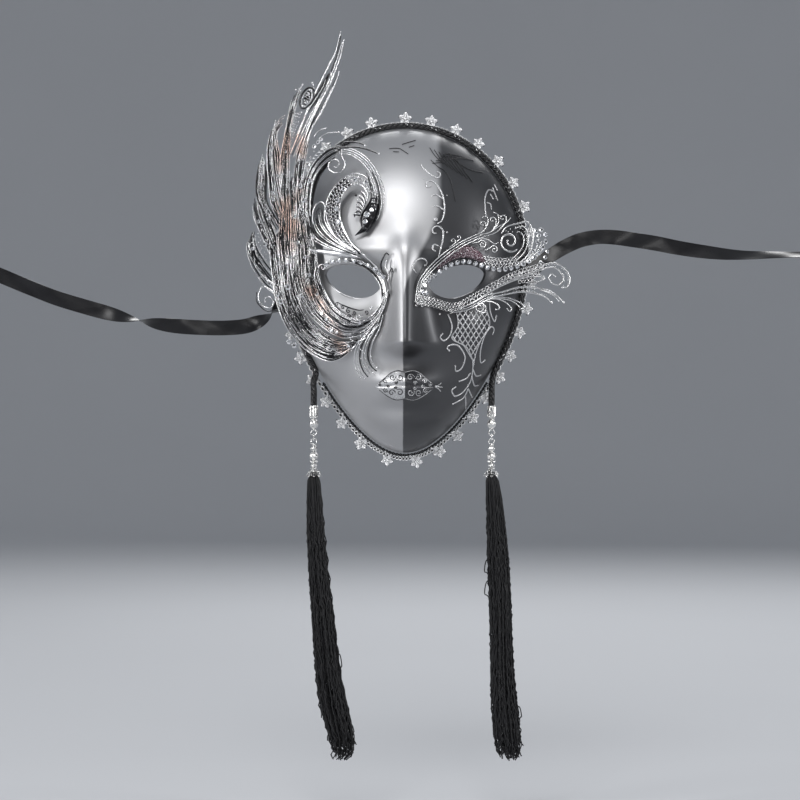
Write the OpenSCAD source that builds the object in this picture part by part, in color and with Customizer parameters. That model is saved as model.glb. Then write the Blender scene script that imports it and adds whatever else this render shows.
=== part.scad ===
// Venetian masquerade mask: a full-face shell edged with rope and lace, a bird-wing metal ornament
// over one side, a filigree eye frame over the other, two beaded tassels and two tie ribbons.
// +Z is up, +X is the viewer's right, the face looks towards -Y and the rim's back lies on y = 0.

/* [Face shell] */
// Half the width of the face
face_half_w = 79; // [76:1:82]
// Half the height of the face, crown to chin
face_half_h = 110; // [107:1:113]
// Depth of the dome in front of the rim, nose left out
face_depth = 62; // [58:1:66]
// Inner surface as a share of the outer one
wall_share = 0.97; // [0.96:0.005:0.98]
// Height of the nose tip above the dome
nose_h = 24; // [20:1:27]
// Half the width of an eye opening
eye_half_w = 19.1; // [17:0.1:20]
// Height of the upper lid above the line between the corners
eye_top = 8.6; // [7:0.1:10]
// Depth of the lower lid below that line
eye_bottom = 13; // [11:0.1:14]

/* [Edge trim] */
// Radius of the twisted edge rope
rope_r = 1.8; // [1.5:0.1:2]
// Radius of the jaw cord
jaw_cord_r = 1.1; // [0.9:0.1:1.3]
// Width of the lace band
lace_w = 3; // [2:0.5:4]
// Radius of a lace flower
flower_r = 4.2; // [3.5:0.1:4.6]
// Distance between lace flowers along the rim
flower_pitch = 16.3; // [14:0.1:20]

/* [Metal ornaments] */
// Thickness of the cut metal sheet
sheet_t = 0.9; // [0.7:0.1:1]
// Clearance between ornament and face
ornament_gap = 1.8; // [1.6:0.1:2.5]
// Half thickness of a raised line on the face
line_r = 0.45; // [0.35:0.05:0.5]
// Radius of an eyelid stone
stone_r = 1.55; // [1.2:0.05:1.6]

/* [Tassel drops] */
// Distance of the left drop from the middle
left_drop_x = 61.6; // [60:0.1:63]
// Distance of the right drop from the middle
right_drop_x = 58.4; // [57:0.1:60]
// How far the drops hang in front of the rim's back
drop_y = 10; // [9:0.5:12]
// Radius of the wire in the rings and pins
wire_r = 0.4; // [0.35:0.05:0.45]
// Radius of the rings at the middle of the wire
ring_r = 1.9; // [1.9:0.1:2]
// Radius of the link ring at the middle of the wire
link_r = 2.2; // [2.2:0.1:2.3]
// Length of a tassel below its cap
tassel_l = 194; // [150:1:200]

/* [Tie ribbons] */
// Width of the ribbon
ribbon_w = 10; // [8:0.5:10]
// Thickness of the ribbon
ribbon_t = 0.6; // [0.4:0.1:0.8]

/* [Hidden] */
$fn = 24;

// Levels down each tassel drop
tube_top = -77.5;
tube_bottom = -86.2;
cone_bottom = -93.6;
eye_ring_z = -96.1;
pivot_fore_z = eye_ring_z - ring_r;
link_ring_z = pivot_fore_z + 1.1 - link_r;
pivot_side_z = link_ring_z - link_r;
drop_ring_z = pivot_side_z + 1.1 - ring_r;
bead_top = drop_ring_z - ring_r - 0.7;
cap_top = bead_top - 15.2;
tassel_top = cap_top - 6.2;
bead_bore_r = wire_r + 0.3;

// Half the distance between the eyes, and the line between the eye corners
eye_x = 34.3;
eye_z = 5.9;
eye_slant = 3.6;
rope_end_t = 119;
slot_z_left = -5;
slot_z_right = 9;
slot_y = -8;

// ---- the face as a height over the rim plane ----
function rim_k(c) = 0.985 + 0.235 * c - 0.075 * c * c;
function rim(t) = [face_half_w * rim_k(cos(t)) * sin(t), face_half_h * cos(t)];
function unit(v) = v / norm(v);
function rim_out(t, off) =
    let (d = unit(rim(t + 0.5) - rim(t - 0.5)))
    rim(t) + off * [-d[1], d[0]];
function rho(x, z) =
    let (c = max(-1, min(1, z / face_half_h)))
    sqrt(pow(x / (face_half_w * rim_k(c)), 2) + pow(z / face_half_h, 2));
function bump(x, z, cx, cz, sx, sz) = exp(-pow((x - cx) / sx, 2) - pow((z - cz) / sz, 2));
function nose_line(z) =
    z > 20 ? 0.25 * exp(-pow((z - 20) / 14, 2)) :
    z > -36 ? 0.25 + 0.75 * pow((20 - z) / 56, 1.3) : exp(-pow((z + 36) / 6.5, 2));
function nose_half(z) = z > 20 ? 8 : z > -36 ? 8 + 5 * (20 - z) / 56 : 13;
function features(x, z) =
    nose_h * nose_line(z) * exp(-pow(x / nose_half(z), 2))
    + 3 * bump(abs(x), z, 26, 23, 24, 7)
    - 9 * bump(abs(x), z, 33, 4, 17, 11)
    + 4 * bump(abs(x), z, 45, -24, 18, 16)
    + 5 * bump(x, z, 0, -64, 26, 16)
    + 4 * bump(x, z, 0, -62, 17, 5) + 4 * bump(x, z, 0, -70, 13, 4.5)
    - 3 * bump(x, z, 0, -80, 16, 5)
    + 6 * bump(x, z, 0, -93, 18, 12);
function fade(r) = r > 1 ? 0 : r < 0.72 ? 1 : (1 - r) / 0.28;
function face(x, z) =
    let (r = rho(x, z))
    face_depth * pow(max(0, 1 - pow(r, 2.4)), 0.55) + fade(r) * features(x, z);
function face_point(u, t) =
    let (p = u * rim(t))
    [p[0], -face(p[0], p[1]), p[1]];

// ---- the sheets that the ornaments are cut from ----
function soft_max(a, b, w) = (a + b + sqrt(pow(a - b, 2) + w * w)) / 2;
function wing_sheet(x, z) =
    soft_max(face(x, z) + ornament_gap, 50 + 0.2 * (x + 40) - 0.05 * max(0, z - 60), 5);
function eye_sheet(x, z) = soft_max(face(x, z) + ornament_gap, 50 - 0.25 * (x - 40), 5);
function line_sheet(x, z) = face(x, z) + 1.15;
function height(kind, x, z) =
    kind == "wing" ? wing_sheet(x, z) : kind == "eye" ? eye_sheet(x, z) : line_sheet(x, z);
function sheet_normal(kind, x, z) =
    unit([height(kind, x - 1, z) - height(kind, x + 1, z), -2,
          height(kind, x, z - 1) - height(kind, x, z + 1)]);

// ---- curves and lofts ----
function rounded(p, k) =
    let (n = len(p))
    concat([for (i = [0 : n - 2]) for (j = [0 : k - 1])
        let (a = p[max(0, i - 1)], b = p[i], c = p[i + 1], d = p[min(n - 1, i + 2)], s = j / k)
        0.5 * (2 * b + (c - a) * s + (2 * a - 5 * b + 4 * c - d) * s * s
               + (3 * b - a - 3 * c + d) * s * s * s)], [p[n - 1]]);
function run(p, i) = unit(p[min(len(p) - 1, i + 1)] - p[max(0, i - 1)]);
function spiral(cx, cz, r0, r1, a0, a1, n) =
    [for (i = [0 : n]) let (s = i / n, r = r0 + (r1 - r0) * s, a = a0 + (a1 - a0) * s)
        [cx + r * cos(a), cz + r * sin(a)]];
// A leaf's width along its length, from its root share to its tip share
function leaf(s, root, tip) = (root + (tip - root) * s) * (0.55 + 0.45 * sin(180 * min(1, s + 0.15)));

module loft(rings, first, last) {
    m = len(rings[0]);
    n = len(rings);
    function at(i, j) = 1 + i * m + j % m;
    polyhedron(
        points = concat([first], [for (r = rings) for (p = r) p], [last]),
        faces = concat(
            [for (j = [0 : m - 1]) [0, at(0, j + 1), at(0, j)]],
            [for (i = [0 : n - 2]) for (j = [0 : m - 1]) [at(i, j), at(i, j + 1), at(i + 1, j)]],
            [for (i = [0 : n - 2]) for (j = [0 : m - 1]) [at(i + 1, j), at(i, j + 1), at(i + 1, j + 1)]],
            [for (j = [0 : m - 1]) [n * m + 1, at(n - 1, j), at(n - 1, j + 1)]]));
}

// A flat blade of cut sheet that follows a curve drawn on a sheet of the given kind
module blade(points, root, tip, kind = "wing", lift = 0, smooth = 3) {
    p = rounded(points, smooth);
    q = [for (v = p) [v[0], -height(kind, v[0], v[1]) - lift, v[1]]];
    last = len(q) - 1;
    rings = [for (i = [0 : last])
        let (along = run(q, i), out = sheet_normal(kind, p[i][0], p[i][1]),
             side = unit(cross(along, out)), w = 0.5 * leaf(i / last, root, tip) * side,
             h = 0.5 * sheet_t * cross(side, along))
        [q[i] + w + h, q[i] - w + h, q[i] - w - h, q[i] + w - h]];
    loft(rings, q[0], q[last]);
}

// A raised line of even width
module line(points, kind = "line", r = line_r, lift = 0, smooth = 2) {
    p = rounded(points, smooth);
    q = [for (v = p) [v[0], -height(kind, v[0], v[1]) - lift, v[1]]];
    last = len(q) - 1;
    rings = [for (i = [0 : last])
        let (along = run(q, i), out = sheet_normal(kind, p[i][0], p[i][1]),
             side = r * unit(cross(along, out)), h = r * unit(cross(side, along)))
        [q[i] + side, q[i] + h, q[i] - side, q[i] - h]];
    loft(rings, q[0], q[last]);
}

// A round cord swept along points in space
module cord(q, r, sides) {
    last = len(q) - 1;
    rings = [for (i = [0 : last])
        let (along = run(q, i), side = unit(cross(along, [0, -1, 0])), up = cross(side, along))
        [for (j = [0 : sides - 1]) q[i] + r * (cos(360 * j / sides) * side + sin(360 * j / sides) * up)]];
    loft(rings, q[0], q[last]);
}

module at_sheet(kind, p, lift = 0) {
    translate([p[0], -height(kind, p[0], p[1]) - lift, p[1]]) rotate([90, 0, 0]) children();
}

module stone(kind, p, r, lift) {
    at_sheet(kind, p, lift) cylinder(h = 0.9 * r, r1 = r, r2 = 0.6 * r);
}

// ---- shell ----
module eye_prism(side) {
    outline = [for (a = [0 : 15 : 345])
        let (s = sin(a), lid = s > 0 ? eye_top : eye_bottom)
        [side * (eye_x + eye_half_w * cos(a)),
         eye_z + eye_slant * cos(a) + lid * sign(s) * pow(abs(s), 1.2)]];
    rotate([90, 0, 0]) linear_extrude(height = 110) polygon(side > 0 ? outline : [for (i = [23 : -1 : 0]) outline[i]]);
}

module shell() {
    rows = 24;
    cols = 60;
    outer = [for (i = [1 : rows]) [for (j = [0 : cols - 1]) face_point(sin(90 * i / rows), -360 * j / cols)]];
    inner = [for (i = [rows : -1 : 1]) wall_share * outer[i - 1]];
    top = face_point(0, 0);
    color("gray") difference() {
        loft(concat(outer, inner), top, wall_share * top);
        eye_prism(1);
        eye_prism(-1);
        translate([-94, slot_y - 0.7, slot_z_left - 6.5]) cube([34, 1.4, 13]);
        translate([60, slot_y - 0.7, slot_z_right - 6.5]) cube([34, 1.4, 13]);
    }
}

function rim_x(z) = let (c = z / face_half_h) face_half_w * rim_k(c) * sqrt(1 - c * c);
module ribbon_patch(side, z) {
    translate([side * 0.93 * rim_x(z - 9), -9.5, z]) cube([1.2, 9, 18], center = true);
}
module ribbon_patch_left() { color("dimgray") ribbon_patch(-1, slot_z_left); }
module ribbon_patch_right() { color("dimgray") ribbon_patch(1, slot_z_right); }

// ---- tie ribbons: route points and the turn of the ribbon about its run at each of them ----
left_route = [
    [-71.8, -8, -5], [-78, -8, -5.4], [-85, -7.5, -10], [-91, -7, -16], [-98, -6.5, -20.5],
    [-108, -6, -24], [-122, -6, -25.2], [-138, -6, -25], [-154, -6, -24], [-170, -6, -22],
    [-186, -6, -19], [-202, -6, -15], [-218, -6, -10.5], [-236, -6, -5], [-254, -6, 2],
    [-272, -6, 9.5], [-282, -6, 13.5], [-291, -6, 17]];
left_turn = [0, 0, 25, 100, 150, 180, 180, 178, 190, 225, 300, 345, 360, 365, 370, 360, 360, 360];
right_route = [
    [74.2, -8, 9], [79.5, -8, 9.4], [86.5, -7.5, 14], [93, -7, 20], [100, -6.5, 24.8],
    [109, -6, 30], [119, -6, 34.2], [131, -6, 36.4], [143, -6, 36], [156, -6, 34.2],
    [170, -6, 32], [185, -6, 29], [200, -6, 26.6], [215, -6, 25], [230, -6, 24.2],
    [246, -6, 24.2], [262, -6, 24.4], [274, -6, 24.6], [284, -6, 25]];
right_turn = [0, 0, 15, 30, 20, 5, 10, 15, 0, -10, 0, 10, 20, 35, 50, 60, 65, 65, 60];

module ribbon(route, turn) {
    q = rounded(route, 3);
    a = rounded(turn, 3);
    last = len(q) - 1;
    rings = [for (i = [0 : last])
        let (along = run(q, i), wide = unit(cross(along, [0, -1, 0])), thick = cross(wide, along),
             w = 0.5 * ribbon_w * (cos(a[i]) * wide + sin(a[i]) * thick),
             h = 0.5 * ribbon_t * (cos(a[i]) * thick - sin(a[i]) * wide))
        [q[i] + w + h, q[i] - w + h, q[i] - w - h, q[i] + w - h]];
    loft(rings, q[0], q[last]);
}
module ribbon_left() { color("black") ribbon(left_route, left_turn); }
module ribbon_right() { color("black") ribbon(right_route, right_turn); }

// ---- edge trim ----
function rope_run(t) = let (p = rim_out(t, rope_r + 0.2)) [p[0], -3.6, p[1]];
function rope_tail(side, x) = [
    [side * (x + 0.4), -5.5, -62], [side * (x + 0.1), -8.4, -68], [side * x, -drop_y, -73],
    [side * x, -drop_y, tube_top + 0.2]];

module edge_rope() {
    turns = [for (t = [-rope_end_t : 7 : rope_end_t]) rope_run(t)];
    left = rope_tail(-1, left_drop_x);
    right = rope_tail(1, right_drop_x);
    color("#202024") cord(concat([for (i = [3 : -1 : 0]) left[i]], turns, right), rope_r, 8);
}

module jaw_cord() {
    color("#202024") cord(
        [for (t = [124 : 4 : 236]) let (p = rim_out(t, jaw_cord_r + 0.3)) [p[0], -2.9, p[1]]], jaw_cord_r, 6);
}

module lace_band() {
    rings = [for (t = [0 : 5 : 355])
        let (a = rim_out(t, 2.2), b = rim_out(t, 2.2 + lace_w))
        [[a[0], -0.5, a[1]], [b[0], -0.5, b[1]], [b[0], -0.1, b[1]], [a[0], -0.1, a[1]]]];
    n = len(rings);
    color("silver") polyhedron(
        points = [for (r = rings) for (p = r) p],
        faces = [for (i = [0 : n - 1]) for (j = [0 : 3]) each [
            [i * 4 + j, i * 4 + (j + 1) % 4, (i + 1) % n * 4 + j],
            [i * 4 + (j + 1) % 4, (i + 1) % n * 4 + (j + 1) % 4, (i + 1) % n * 4 + j]]]);
}

// Angles round the rim that stand one flower pitch apart
function flower_steps(t, list) =
    t > 359 - 0.6 * flower_pitch / 2 ? list :
    flower_steps(t + 0.5 * flower_pitch / norm(rim(t + 0.5) - rim(t)), concat(list, [t]));

module flower() {
    outline = [for (a = [0 : 12 : 348]) flower_r * (0.8 + 0.2 * cos(5 * a)) * [cos(a), sin(a)]];
    linear_extrude(height = 1) polygon(outline);
}

module lace_flowers() {
    color("silver") for (t = flower_steps(0, [])) {
        p = rim_out(t, 5.6);
        translate([p[0], -0.6, p[1]]) rotate([90, 0, 0]) rotate([0, 0, 90 - t]) flower();
    }
}

// ---- lips and raised lines on the face ----
lip_edge = [[0, -55.5], [6, -54.5], [13, -59], [20.5, -65], [13, -71], [5, -74.5], [0, -73.5]];
module lip_half(side) {
    p = [for (v = rounded(lip_edge, 2)) [side * (v[0] + 0.3), v[1]]];
    mid = [side * 7, -64.5];
    // One ring of the lip, drawn in towards its middle by a share and lifted off the face
    function lip_ring(share, lift) = [for (i = [0 : len(p) - 1])
        let (v = mid + share * (p[side > 0 ? i : len(p) - 1 - i] - mid)) [v[0], -face(v[0], v[1]) - lift, v[1]]];
    loft([for (s = [0.3, 0.6, 0.85, 1]) lip_ring(s, 1.5), for (s = [1, 0.85, 0.6, 0.3]) lip_ring(s, 2.3)],
         [mid[0], -face(mid[0], mid[1]) - 1.5, mid[1]], [mid[0], -face(mid[0], mid[1]) - 2.3, mid[1]]);
}
module lips_left() { color("darkgray") lip_half(-1); }
module lips_right() { color("silver") lip_half(1); }

module forehead_scroll() {
    color("silver") {
        line([[10.5, 81.5], [15, 76], [19.5, 73], [23, 74], [23, 77.5]]);
        line([[14, 66.5], [15.5, 69.5], [19, 69.5], [22.5, 65.5], [25, 59], [25.5, 50.5], [24, 44.5]]);
        line([[18.5, 36], [20, 38.5], [23.5, 37.5], [25, 32], [22.5, 21.5]]);
        line([[7, 8], [6, 12.5], [9.5, 17.5], [14, 17]]);
        at_sheet("line", [20.5, 42.6], -0.3) cylinder(h = 1.2, r = 1.4);
    }
}

module temple_scroll() {
    color("silver") {
        line([[53, 47.5], [53, 61.5], [56, 67], [60, 64]]);
        line([[56.5, 57], [60, 54], [59.5, 50]]);
    }
}

panel_left = [[33.5, -17.5], [33.5, -28], [31, -34.5], [39.5, -39], [43.5, -45], [44, -51]];
panel_right = [[54, -17.5], [56, -24], [50.5, -35], [46, -44.5], [44.6, -51]];
module cheek_lattice() {
    color("silver") {
        line(panel_left);
        line([for (v = panel_right) v + [0.6, 0]]);
        for (i = [0 : 3]) line([[36, -18 - 6 * i], [50 - 1.2 * i, -27.5 - 5 * i]], lift = 0.1);
    }
}

module cheek_scrolls() {
    color("silver") {
        line([[27.5, -17], [30.5, -24.5], [29.5, -30.5], [25.5, -35], [23, -32.5]]);
        line([[30.5, -38.5], [35.5, -40.5], [39.5, -47], [37, -54], [33.5, -55.5]]);
        line([[58.5, -28], [55.8, -27], [52.8, -34], [50.4, -41.5], [50.5, -50], [53.5, -48.5]]);
        line([[45, -53], [43.5, -62], [38, -69.5], [33, -71.5], [31, -68]]);
        line([[41.5, -69], [41, -79]]);
        line([[45.5, -62], [47.5, -66.5]]);
    }
}

// ---- bird-wing ornament ----
module bird_neck() {
    color("silver") {
        blade([[-22, 44], [-14.5, 54.5], [-16, 67], [-24, 74], [-35, 74], [-45, 67], [-49, 55],
               [-46, 42], [-38, 31.5], [-29, 24]], 4.5, 5.5, smooth = 2);
        blade([[-36, 68], [-41, 60], [-42, 50], [-38, 40]], 2.5, 1.5);
    }
}
module bird_head() { color("silver") blade([[-31, 32.5], [-26.5, 40], [-22, 46]], 3, 7, lift = 1.1); }
module bird_crest() {
    color("silver") {
        blade([[-27.5, 49.5], [-30.5, 55], [-29, 60.5]], 1.6, 1);
        blade([[-25, 52], [-25.5, 57.5], [-23.5, 62]], 1.6, 1);
    }
}
module forehead_arcs() {
    color("silver") {
        blade([[-66, 42], [-66.5, 64], [-60, 82], [-46, 94.5], [-29, 91], [-17.5, 81], [-11.5, 68]], 2, 1.4);
        blade([[-60, 42], [-60.5, 61], [-54.5, 77], [-44, 86]], 2, 1.4);
        blade(spiral(-40.5, 81.5, 6.5, 2, 0, -400, 12), 1.4, 1, smooth = 1, lift = 1.2);
    }
}
module tail_plumes() {
    color("silver") {
        blade([[-76, 88], [-64.5, 111], [-51.5, 139], [-43.5, 171]], 3, 3, smooth = 4);
        blade([[-71.5, 84], [-60, 107], [-46.5, 134], [-40.5, 164]], 3, 2.4, smooth = 4);
        blade([[-67, 80], [-57, 100], [-47, 121], [-42, 143]], 2.4, 2, smooth = 4);
        blade([[-75, 99], [-70.5, 112], [-65, 127], [-56, 140]], 6, 5, smooth = 4);
    }
}
module back_plumes() {
    color("silver") {
        blade([[-77.5, 70], [-81.5, 92], [-80.5, 114]], 3, 2);
        blade([[-81, 58], [-87, 82], [-86, 110]], 3.4, 2);
        blade([[-75, 20], [-86, 47], [-93.5, 70], [-94.5, 90]], 5, 3);
        blade([[-83, 14], [-94, 35], [-100, 52], [-100.5, 68]], 5, 3);
        blade([[-84, 2], [-95, 16], [-103, 29], [-104.5, 42]], 5, 3);
        blade([[-85, -9], [-94, -3], [-101, 6], [-105, 18]], 4, 2.4);
        blade([[-84, -20], [-93.5, -12.5], [-96.5, -4], [-92, -5]], 2, 1.4);
        blade([[-71, 24], [-76, 42], [-78, 61]], 5, 3);
    }
}
module lower_plumes() {
    color("silver") {
        blade([[-76, 8], [-79.5, -16], [-75.5, -32], [-58, -45.5], [-35, -47.5]], 4, 2);
        blade([[-69, 10], [-74, -14], [-66, -33], [-51, -41], [-36, -42]], 4, 2);
        blade([[-64, 8], [-66.5, -12], [-58, -28.5], [-43, -36.8], [-27, -37]], 3.6, 1.6);
    }
}
module brow_feather() {
    color("silver") {
        blade([[-64, 33], [-52, 31], [-38, 25.5], [-26, 18.8], [-16, 9.8], [-12, 0]], 4, 2.4, smooth = 2);
        blade([[-63, 26], [-52, 24.5], [-41, 21], [-31, 17.6]], 2.4, 1.2, smooth = 2);
    }
}
module under_eye_feathers() {
    color("silver") {
        blade([[-57.5, 6], [-52, -10.5], [-38.5, -19], [-25, -19.5], [-13.5, -14]], 2, 1.4, smooth = 2);
        blade([[-60.8, 3], [-55, -15.5], [-41, -24.2], [-27, -24.8], [-16, -20]], 2, 1.4, smooth = 2);
        blade([[-63, -4], [-56.5, -20], [-44.5, -29], [-30, -30.5], [-18.5, -25.5]], 2, 1.4, smooth = 2);
    }
}
module cheek_feathers() {
    color("silver") {
        blade([[-14.5, -25], [-18.5, -37.5], [-19, -48], [-16.5, -55.5]], 2, 1.4);
        blade([[-18.5, -29], [-24, -39.5], [-25.5, -49], [-21.5, -57]], 2, 1.4);
        blade([[-23, -33], [-29.5, -41], [-31.5, -51], [-28.5, -61]], 2, 1.4);
    }
}
module nose_leaf() {
    color("silver") blade([[-12.5, 21], [-14.5, 15.5], [-10.5, 11], [-9.5, 4], [-8.5, -8]], 2, 1.6, smooth = 2);
}

wing_jewels = [
    [-76.5, 1, 1.6], [-84, -5, 1.6], [-62, 16, 1.6], [-30, -27.5, 1.4], [-46, -32.5, 1.4], [-59, -24, 1.4],
    [-60.5, 88, 1.4], [-53, 91.5, 1.4], [-64.5, 78, 1.4], [-66.5, 66, 1.4], [-74, 30, 1.4], [-88, 44, 1.4],
    [-95, 38, 1.4], [-92, 62, 1.4], [-84, 72, 1.4], [-71, 118, 1.4], [-63, 134, 1.6], [-67, 107, 1.4],
    [-26, 40.5, 2], [-22, 45.5, 1.8], [-47.5, 63, 1.8], [-48.7, 55, 1.8], [-46, 42.5, 1.8], [-36, 73.6, 1.6],
    [-100, 24, 1.4], [-70, -24, 1.4], [-54, -43, 1.4]];
module wing_stones() {
    color("white") for (j = wing_jewels) stone("wing", j, j[2], 1.9);
}

// Points an even step apart along a lid line, from corner to corner
function lid_point(side, a, off) =
    [side * (eye_x + (eye_half_w + off) * cos(a)),
     eye_z + eye_slant * cos(a) + (eye_top + off) * pow(max(0, sin(a)), 1.1)];
module left_eye_stones() {
    color("white") for (a = [38 : 13.5 : 160]) stone("wing", lid_point(-1, a, 2.4), stone_r, 0.7);
}

// ---- filigree eye frame ----
frame_upper = [[8, -9], [9, 2], [14, 12.5], [23, 20], [36, 27.5], [48, 31], [57, 27.5], [66, 21.5], [76, 19.5]];
frame_lower = [[9, -12], [19, -15], [30, -16.5], [40, -14.5], [50, -8.5], [62, -2.5], [76, 4.5], [90, 11.5]];
module eye_frame_upper() { color("silver") blade(frame_upper, 5, 5, "eye"); }
module eye_frame_lower() { color("silver") blade(frame_lower, 3.6, 3.6, "eye"); }
module eye_frame_spiral() {
    color("silver") {
        blade(spiral(69.5, 33, 6, 1.6, -90, -520, 16), 1.4, 1, "eye", smooth = 1);
        blade([[60, 27.5], [61.5, 36], [67, 42], [75, 44.5], [82, 42], [83.5, 35], [79.5, 26]], 1.6, 1.4, "eye",
              smooth = 2);
    }
}
module eye_frame_scrolls() {
    color("silver") {
        blade([[48, 34.5], [53, 40], [56, 47], [53.5, 49.5]], 1.6, 1.2, "eye", smooth = 2);
        blade([[55.5, 35], [61, 41.5], [64, 47], [61.5, 50]], 1.6, 1.2, "eye", smooth = 2);
        blade([[31, 27.5], [33.5, 32.5], [37.5, 32]], 1.6, 1.2, "eye", smooth = 2);
    }
}
module eye_frame_tails() {
    color("silver") {
        blade([[84, 12.8], [94, 16.5], [103, 16], [109, 10.5], [109.5, 4.5], [105, 0.5]], 1.8, 1.4, "eye", smooth = 2);
        blade([[66, -4.5], [77, -1.2], [90, -0.5], [98, -3.5], [105.5, -9.5]], 1.8, 1.4, "eye", smooth = 2);
        blade([[56, -9], [64.5, -8], [73, -10], [80, -14]], 1.6, 1.2, "eye", smooth = 2);
        blade([[50, -12.5], [60, -13.5], [69, -17.5]], 1.6, 1.2, "eye", smooth = 2);
    }
}

lid_row = [
    [11, -3.5], [12.5, 0.5], [15.5, 3.8], [19, 6.8], [22.5, 9.8], [26, 12.4], [30, 14.4], [34, 15.8], [38, 16.6],
    [42, 16.4], [46, 15.4], [50, 14.2], [54, 13], [58, 12.2], [62, 11.8], [66, 12.2], [70, 13], [74, 14.2],
    [78, 15.8], [81.8, 17.8], [85.4, 20.4], [88.6, 23.4], [91.2, 27], [93, 31], [93, 35.4], [90, 38.5]];
module right_eye_stones() {
    color("white") for (p = lid_row) stone("eye", p, stone_r, 0.7);
}

// ---- tassel drops: every piece is turned about the drop's own upright line ----
module drop(side) {
    translate([side < 0 ? -left_drop_x : right_drop_x, -drop_y, 0]) children();
}

module ring(r, z, facing) {
    translate([0, 0, z]) rotate(facing == "front" ? [90, 0, 0] : [0, 90, 0])
        rotate_extrude() translate([r, 0]) circle(r = wire_r);
}

module eye_pin(side) {
    color("silver") drop(side) {
        ring(ring_r, eye_ring_z, "front");
        translate([0, 0, eye_ring_z + ring_r]) cylinder(h = tube_top - 1 - eye_ring_z - ring_r, r = wire_r);
    }
}

module turned_bead(z0, z1, r_end, r_mid) {
    rotate_extrude() polygon([
        [bead_bore_r, z0], [r_end, z0], [r_mid, (z0 + z1) / 2], [r_end, z1], [bead_bore_r, z1]]);
}

module tube_bead(side) {
    color("silver") drop(side) rotate_extrude() polygon([
        [bead_bore_r, tube_bottom], [2.4, tube_bottom], [3.1, tube_bottom + 1.2], [3.1, tube_top - 1.2],
        [2.4, tube_top], [bead_bore_r, tube_top]]);
}
module cone_bead(side) { color("silver") drop(side) turned_bead(cone_bottom, tube_bottom - 0.3, 1.5, 3.1); }
module link_ring(side) { color("silver") drop(side) ring(link_r, link_ring_z, "side"); }
module drop_pin(side) {
    color("silver") drop(side) {
        ring(ring_r, drop_ring_z, "front");
        translate([0, 0, cap_top - 1]) cylinder(h = drop_ring_z - ring_r - cap_top + 1, r = wire_r);
    }
}
module drop_beads(side) {
    color("silver") drop(side) {
        turned_bead(bead_top - 4, bead_top, 1.6, 2.3);
        turned_bead(bead_top - 10, bead_top - 4.3, 1.7, 2.9);
        turned_bead(cap_top + 0.2, bead_top - 11.7, 1.6, 2.4);
    }
}
module spacer(side) {
    color("silver") drop(side) rotate_extrude() polygon([
        [bead_bore_r, bead_top - 11.4], [2.6, bead_top - 11.4], [3, bead_top - 10.85], [2.6, bead_top - 10.3],
        [bead_bore_r, bead_top - 10.3]]);
}
module tassel_cap(side) {
    color("silver") drop(side) rotate_extrude() polygon([
        [bead_bore_r, cap_top], [2.2, cap_top], [3.4, cap_top - 2], [4.2, cap_top - 4.4], [5.2, tassel_top + 0.2],
        [4.4, tassel_top + 0.2], [3.4, cap_top - 4], [2.5, cap_top - 1.6], [bead_bore_r, cap_top - 1.2]]);
}

// Tassel levels as [share of the length, sideways shift, half width, half depth]
left_hang = [
    [0, 0, 2.2, 2.2], [0.015, 0, 3.1, 3.1], [0.03, 0, 4.6, 4.4], [0.09, 0.4, 5.6, 5], [0.2, 1.2, 6.6, 5.6],
    [0.34, 3.2, 7.6, 6], [0.46, 5.4, 8.4, 6.4], [0.58, 7.6, 9.2, 6.8], [0.7, 10, 10, 7], [0.8, 13.2, 11, 7.2],
    [0.9, 18, 10.4, 7], [0.96, 19.6, 8.4, 6.2], [1, 17, 5.4, 5]];
right_hang = [
    [0, 0, 2.2, 2.2], [0.015, 0, 3.1, 3.1], [0.03, 0.6, 4.8, 4.4], [0.09, 1.8, 6, 5], [0.2, 3.4, 7.2, 5.4],
    [0.3, 4.6, 8, 5.8], [0.42, 5.8, 8.2, 6], [0.55, 6.6, 8.2, 6.2], [0.68, 7.4, 8.8, 6.6], [0.8, 8.8, 10, 7],
    [0.9, 10.6, 10.4, 7], [0.96, 12, 9, 6.2], [1, 12.8, 6, 5]];
module tassel(side) {
    hang = side < 0 ? left_hang : right_hang;
    last = len(hang) - 1;
    top = cap_top - 2.6;
    rings = [for (h = hang) [for (a = [0 : 36 : 324])
        [h[1] + h[2] * cos(a), h[3] * sin(a), top - (tassel_l + 3.6) * h[0]]]];
    color("#141416") drop(side)
        loft(rings, [0, 0, top], [hang[last][1], 0, top - tassel_l - 3.6]);
}

module left_eye_pin() { eye_pin(-1); }
module left_tube_bead() { tube_bead(-1); }
module left_cone_bead() { cone_bead(-1); }
module left_link_ring() { link_ring(-1); }
module left_drop_pin() { drop_pin(-1); }
module left_drop_beads() { drop_beads(-1); }
module left_spacer() { spacer(-1); }
module left_tassel_cap() { tassel_cap(-1); }
module left_tassel() { tassel(-1); }
module right_eye_pin() { eye_pin(1); }
module right_tube_bead() { tube_bead(1); }
module right_cone_bead() { cone_bead(1); }
module right_link_ring() { link_ring(1); }
module right_drop_pin() { drop_pin(1); }
module right_drop_beads() { drop_beads(1); }
module right_spacer() { spacer(1); }
module right_tassel_cap() { tassel_cap(1); }
module right_tassel() { tassel(1); }

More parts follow.
